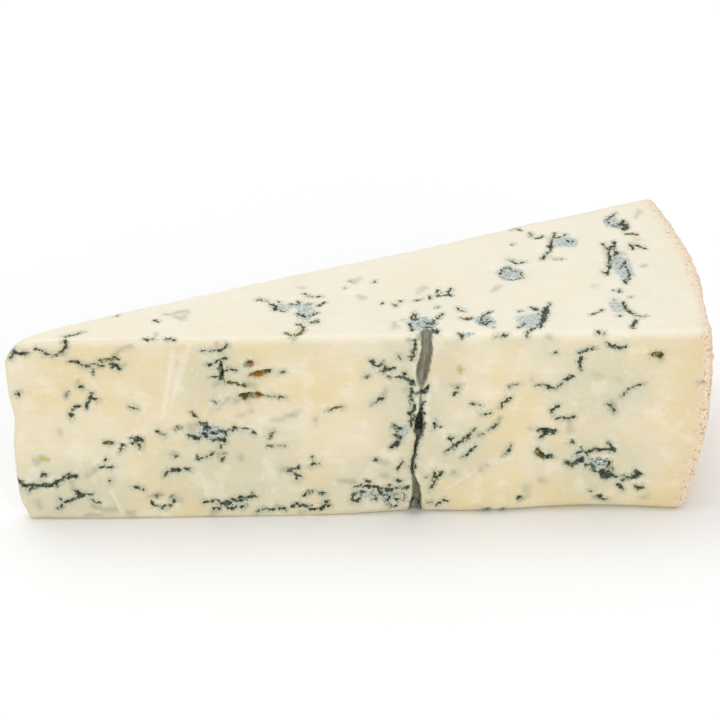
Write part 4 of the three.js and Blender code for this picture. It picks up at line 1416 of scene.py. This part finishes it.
# %% Rind
RIND = linear("E6CDB0")
RIND_OCHRE = linear("B08A5C")
RIND_WHITE = linear("F3EFE5")
rim_ragged = add(tree, MATHS, TIMES_PLUS, {0: pattern["curd"], 1: 4.0, 2: known["rim_gap"]})
rind = add(
    tree, RANGE, SOFT, {"Value": rim_ragged, "From Min": 3, "From Max": 5.8, "To Min": 1, "To Max": 0}
)
ochre = add(tree, RANGE, {}, {"Value": pattern["crumb"], "From Min": 0.55, "From Max": 0.66})
whites = add(tree, RANGE, {}, {"Value": pattern["grain"], "From Min": 0.54, "From Max": 0.62})
crust = add(tree, MIX, COLOUR, {"Factor": ochre, "A": RIND, "B": RIND_OCHRE})
crust = add(tree, MIX, COLOUR, {"Factor": whites, "A": crust, "B": RIND_WHITE})
surface = add(tree, MIX, COLOUR, {"Factor": rind, "A": paste, "B": crust})

# %% [markdown]
# ## Shine and fine bump
#
# Moist paste is smoother than mould or rind, so the roughness rises with both. The bump stands for relief
# finer than the mesh: grains of a quarter of a millimetre, and the long low waves of the smeared paste.

# %% Shader
PASTE_IOR = 1.45
dull = add(tree, MATHS, GREATER, {0: mouldy, 1: rind})
dull = add(tree, MATHS, GREATER, {0: dull, 1: known["powder"]})
roughness = add(tree, RANGE, {}, {"Value": dull, "To Min": 0.42, "To Max": 0.85})
relief = add(tree, MATHS, TIMES_PLUS, {0: pattern["grain"], 1: 0.35, 2: pattern["curd"]})
relief = add(tree, MATHS, TIMES_PLUS, {0: pattern["smear"], 1: 0.9, 2: relief})
relief = add(tree, MATHS, TIMES_PLUS, {0: mouldy, 1: -0.5, 2: relief})
bump = add(tree, "ShaderNodeBump", inputs={"Strength": 0.6, "Distance": 0.14 * MM, "Height": relief})
shader = add(
    tree,
    "ShaderNodeBsdfPrincipled",
    {"subsurface_method": "RANDOM_WALK"},
    {
        "Base Color": surface,
        "Roughness": roughness,
        "IOR": PASTE_IOR,
        "Subsurface Weight": 0.25,
        "Subsurface Radius": (1.0, 0.7, 0.4),
        "Subsurface Scale": 1.8 * MM,
        "Normal": bump,
    },
)
add(tree, "ShaderNodeOutputMaterial", inputs={"Surface": shader})
wedge_mesh.materials.append(material)
print("material:", material.name, "with", len(tree.nodes), "nodes")

# %% [markdown]
# ## Floor, light and camera
#
# The cheese stands in a plain pale studio: a white floor, a bright even surround, a wide cool light above
# and a weaker fill in front. The camera looks down at about 31 degrees through a very long lens, so the
# wedge's edges hardly converge.

# %% Floor
floor_mesh = bpy.data.meshes.new("studio_floor")
work = bmesh.new()
bmesh.ops.create_grid(work, x_segments=1, y_segments=1, size=4)
work.to_mesh(floor_mesh)
work.free()
floor = bpy.data.objects.new("studio_floor", floor_mesh)
bpy.context.scene.collection.objects.link(floor)
floor_paint = bpy.data.materials.new("matt_white_paint")
floor_paint.use_nodes = True
floor_shader = floor_paint.node_tree.nodes["Principled BSDF"]
floor_shader.inputs["Base Color"].default_value = linear("FAFAFA")
floor_shader.inputs["Roughness"].default_value = 0.9
floor_shader.inputs["Specular IOR Level"].default_value = 0.1
floor_mesh.materials.append(floor_paint)

# %% Light
scene = bpy.context.scene
scene.view_settings.view_transform = "Standard"
world = bpy.data.worlds.new("studio")
world.use_nodes = True
scene.world = world
backdrop = world.node_tree.nodes["Background"]
backdrop.inputs["Color"].default_value = (1, 1, 1, 1)
backdrop.inputs["Strength"].default_value = 0.76


def add_light(name, position, size, power, colour):
    lamp = bpy.data.lights.new(name, "AREA")
    lamp.shape = "SQUARE"
    lamp.size = size
    lamp.energy = power
    lamp.color = linear(colour)[:3]
    holder = bpy.data.objects.new(name, lamp)
    holder.location = position
    holder.rotation_euler = Vector(position).to_track_quat("Z", "Y").to_euler()
    scene.collection.objects.link(holder)


add_light("overhead_softbox", (-0.25, 0.35, 1.3), 1.1, 6.4, "F6F9FF")
add_light("front_fill", (0.3, -1.4, 0.5), 0.9, 4.4, "FFFBF2")

# %% Camera
LENS = 353.89
SENSOR = 36
DISTANCE = 1.4
AZIMUTH = math.radians(-9.685)
ELEVATION = math.radians(30.895)
ROLL = math.radians(-1.512)
AIM = Vector((1.183, 0, 27.529)) * MM

back = Vector(
    (
        math.sin(AZIMUTH) * math.cos(ELEVATION),
        -math.cos(AZIMUTH) * math.cos(ELEVATION),
        math.sin(ELEVATION),
    )
)
level_right = (-back).cross(Vector((0, 0, 1))).normalized()
level_up = level_right.cross(-back)
right = level_right * math.cos(ROLL) + level_up * math.sin(ROLL)
up = level_up * math.cos(ROLL) - level_right * math.sin(ROLL)
camera_data = bpy.data.cameras.new("camera")
camera_data.lens = LENS
camera_data.sensor_width = SENSOR
camera_data.clip_start = 0.05
camera_data.clip_end = 20
camera = bpy.data.objects.new("camera", camera_data)
turn = Matrix((right, up, back)).transposed().to_4x4()
camera.matrix_world = Matrix.Translation(AIM + back * DISTANCE) @ turn
scene.collection.objects.link(camera)
scene.camera = camera
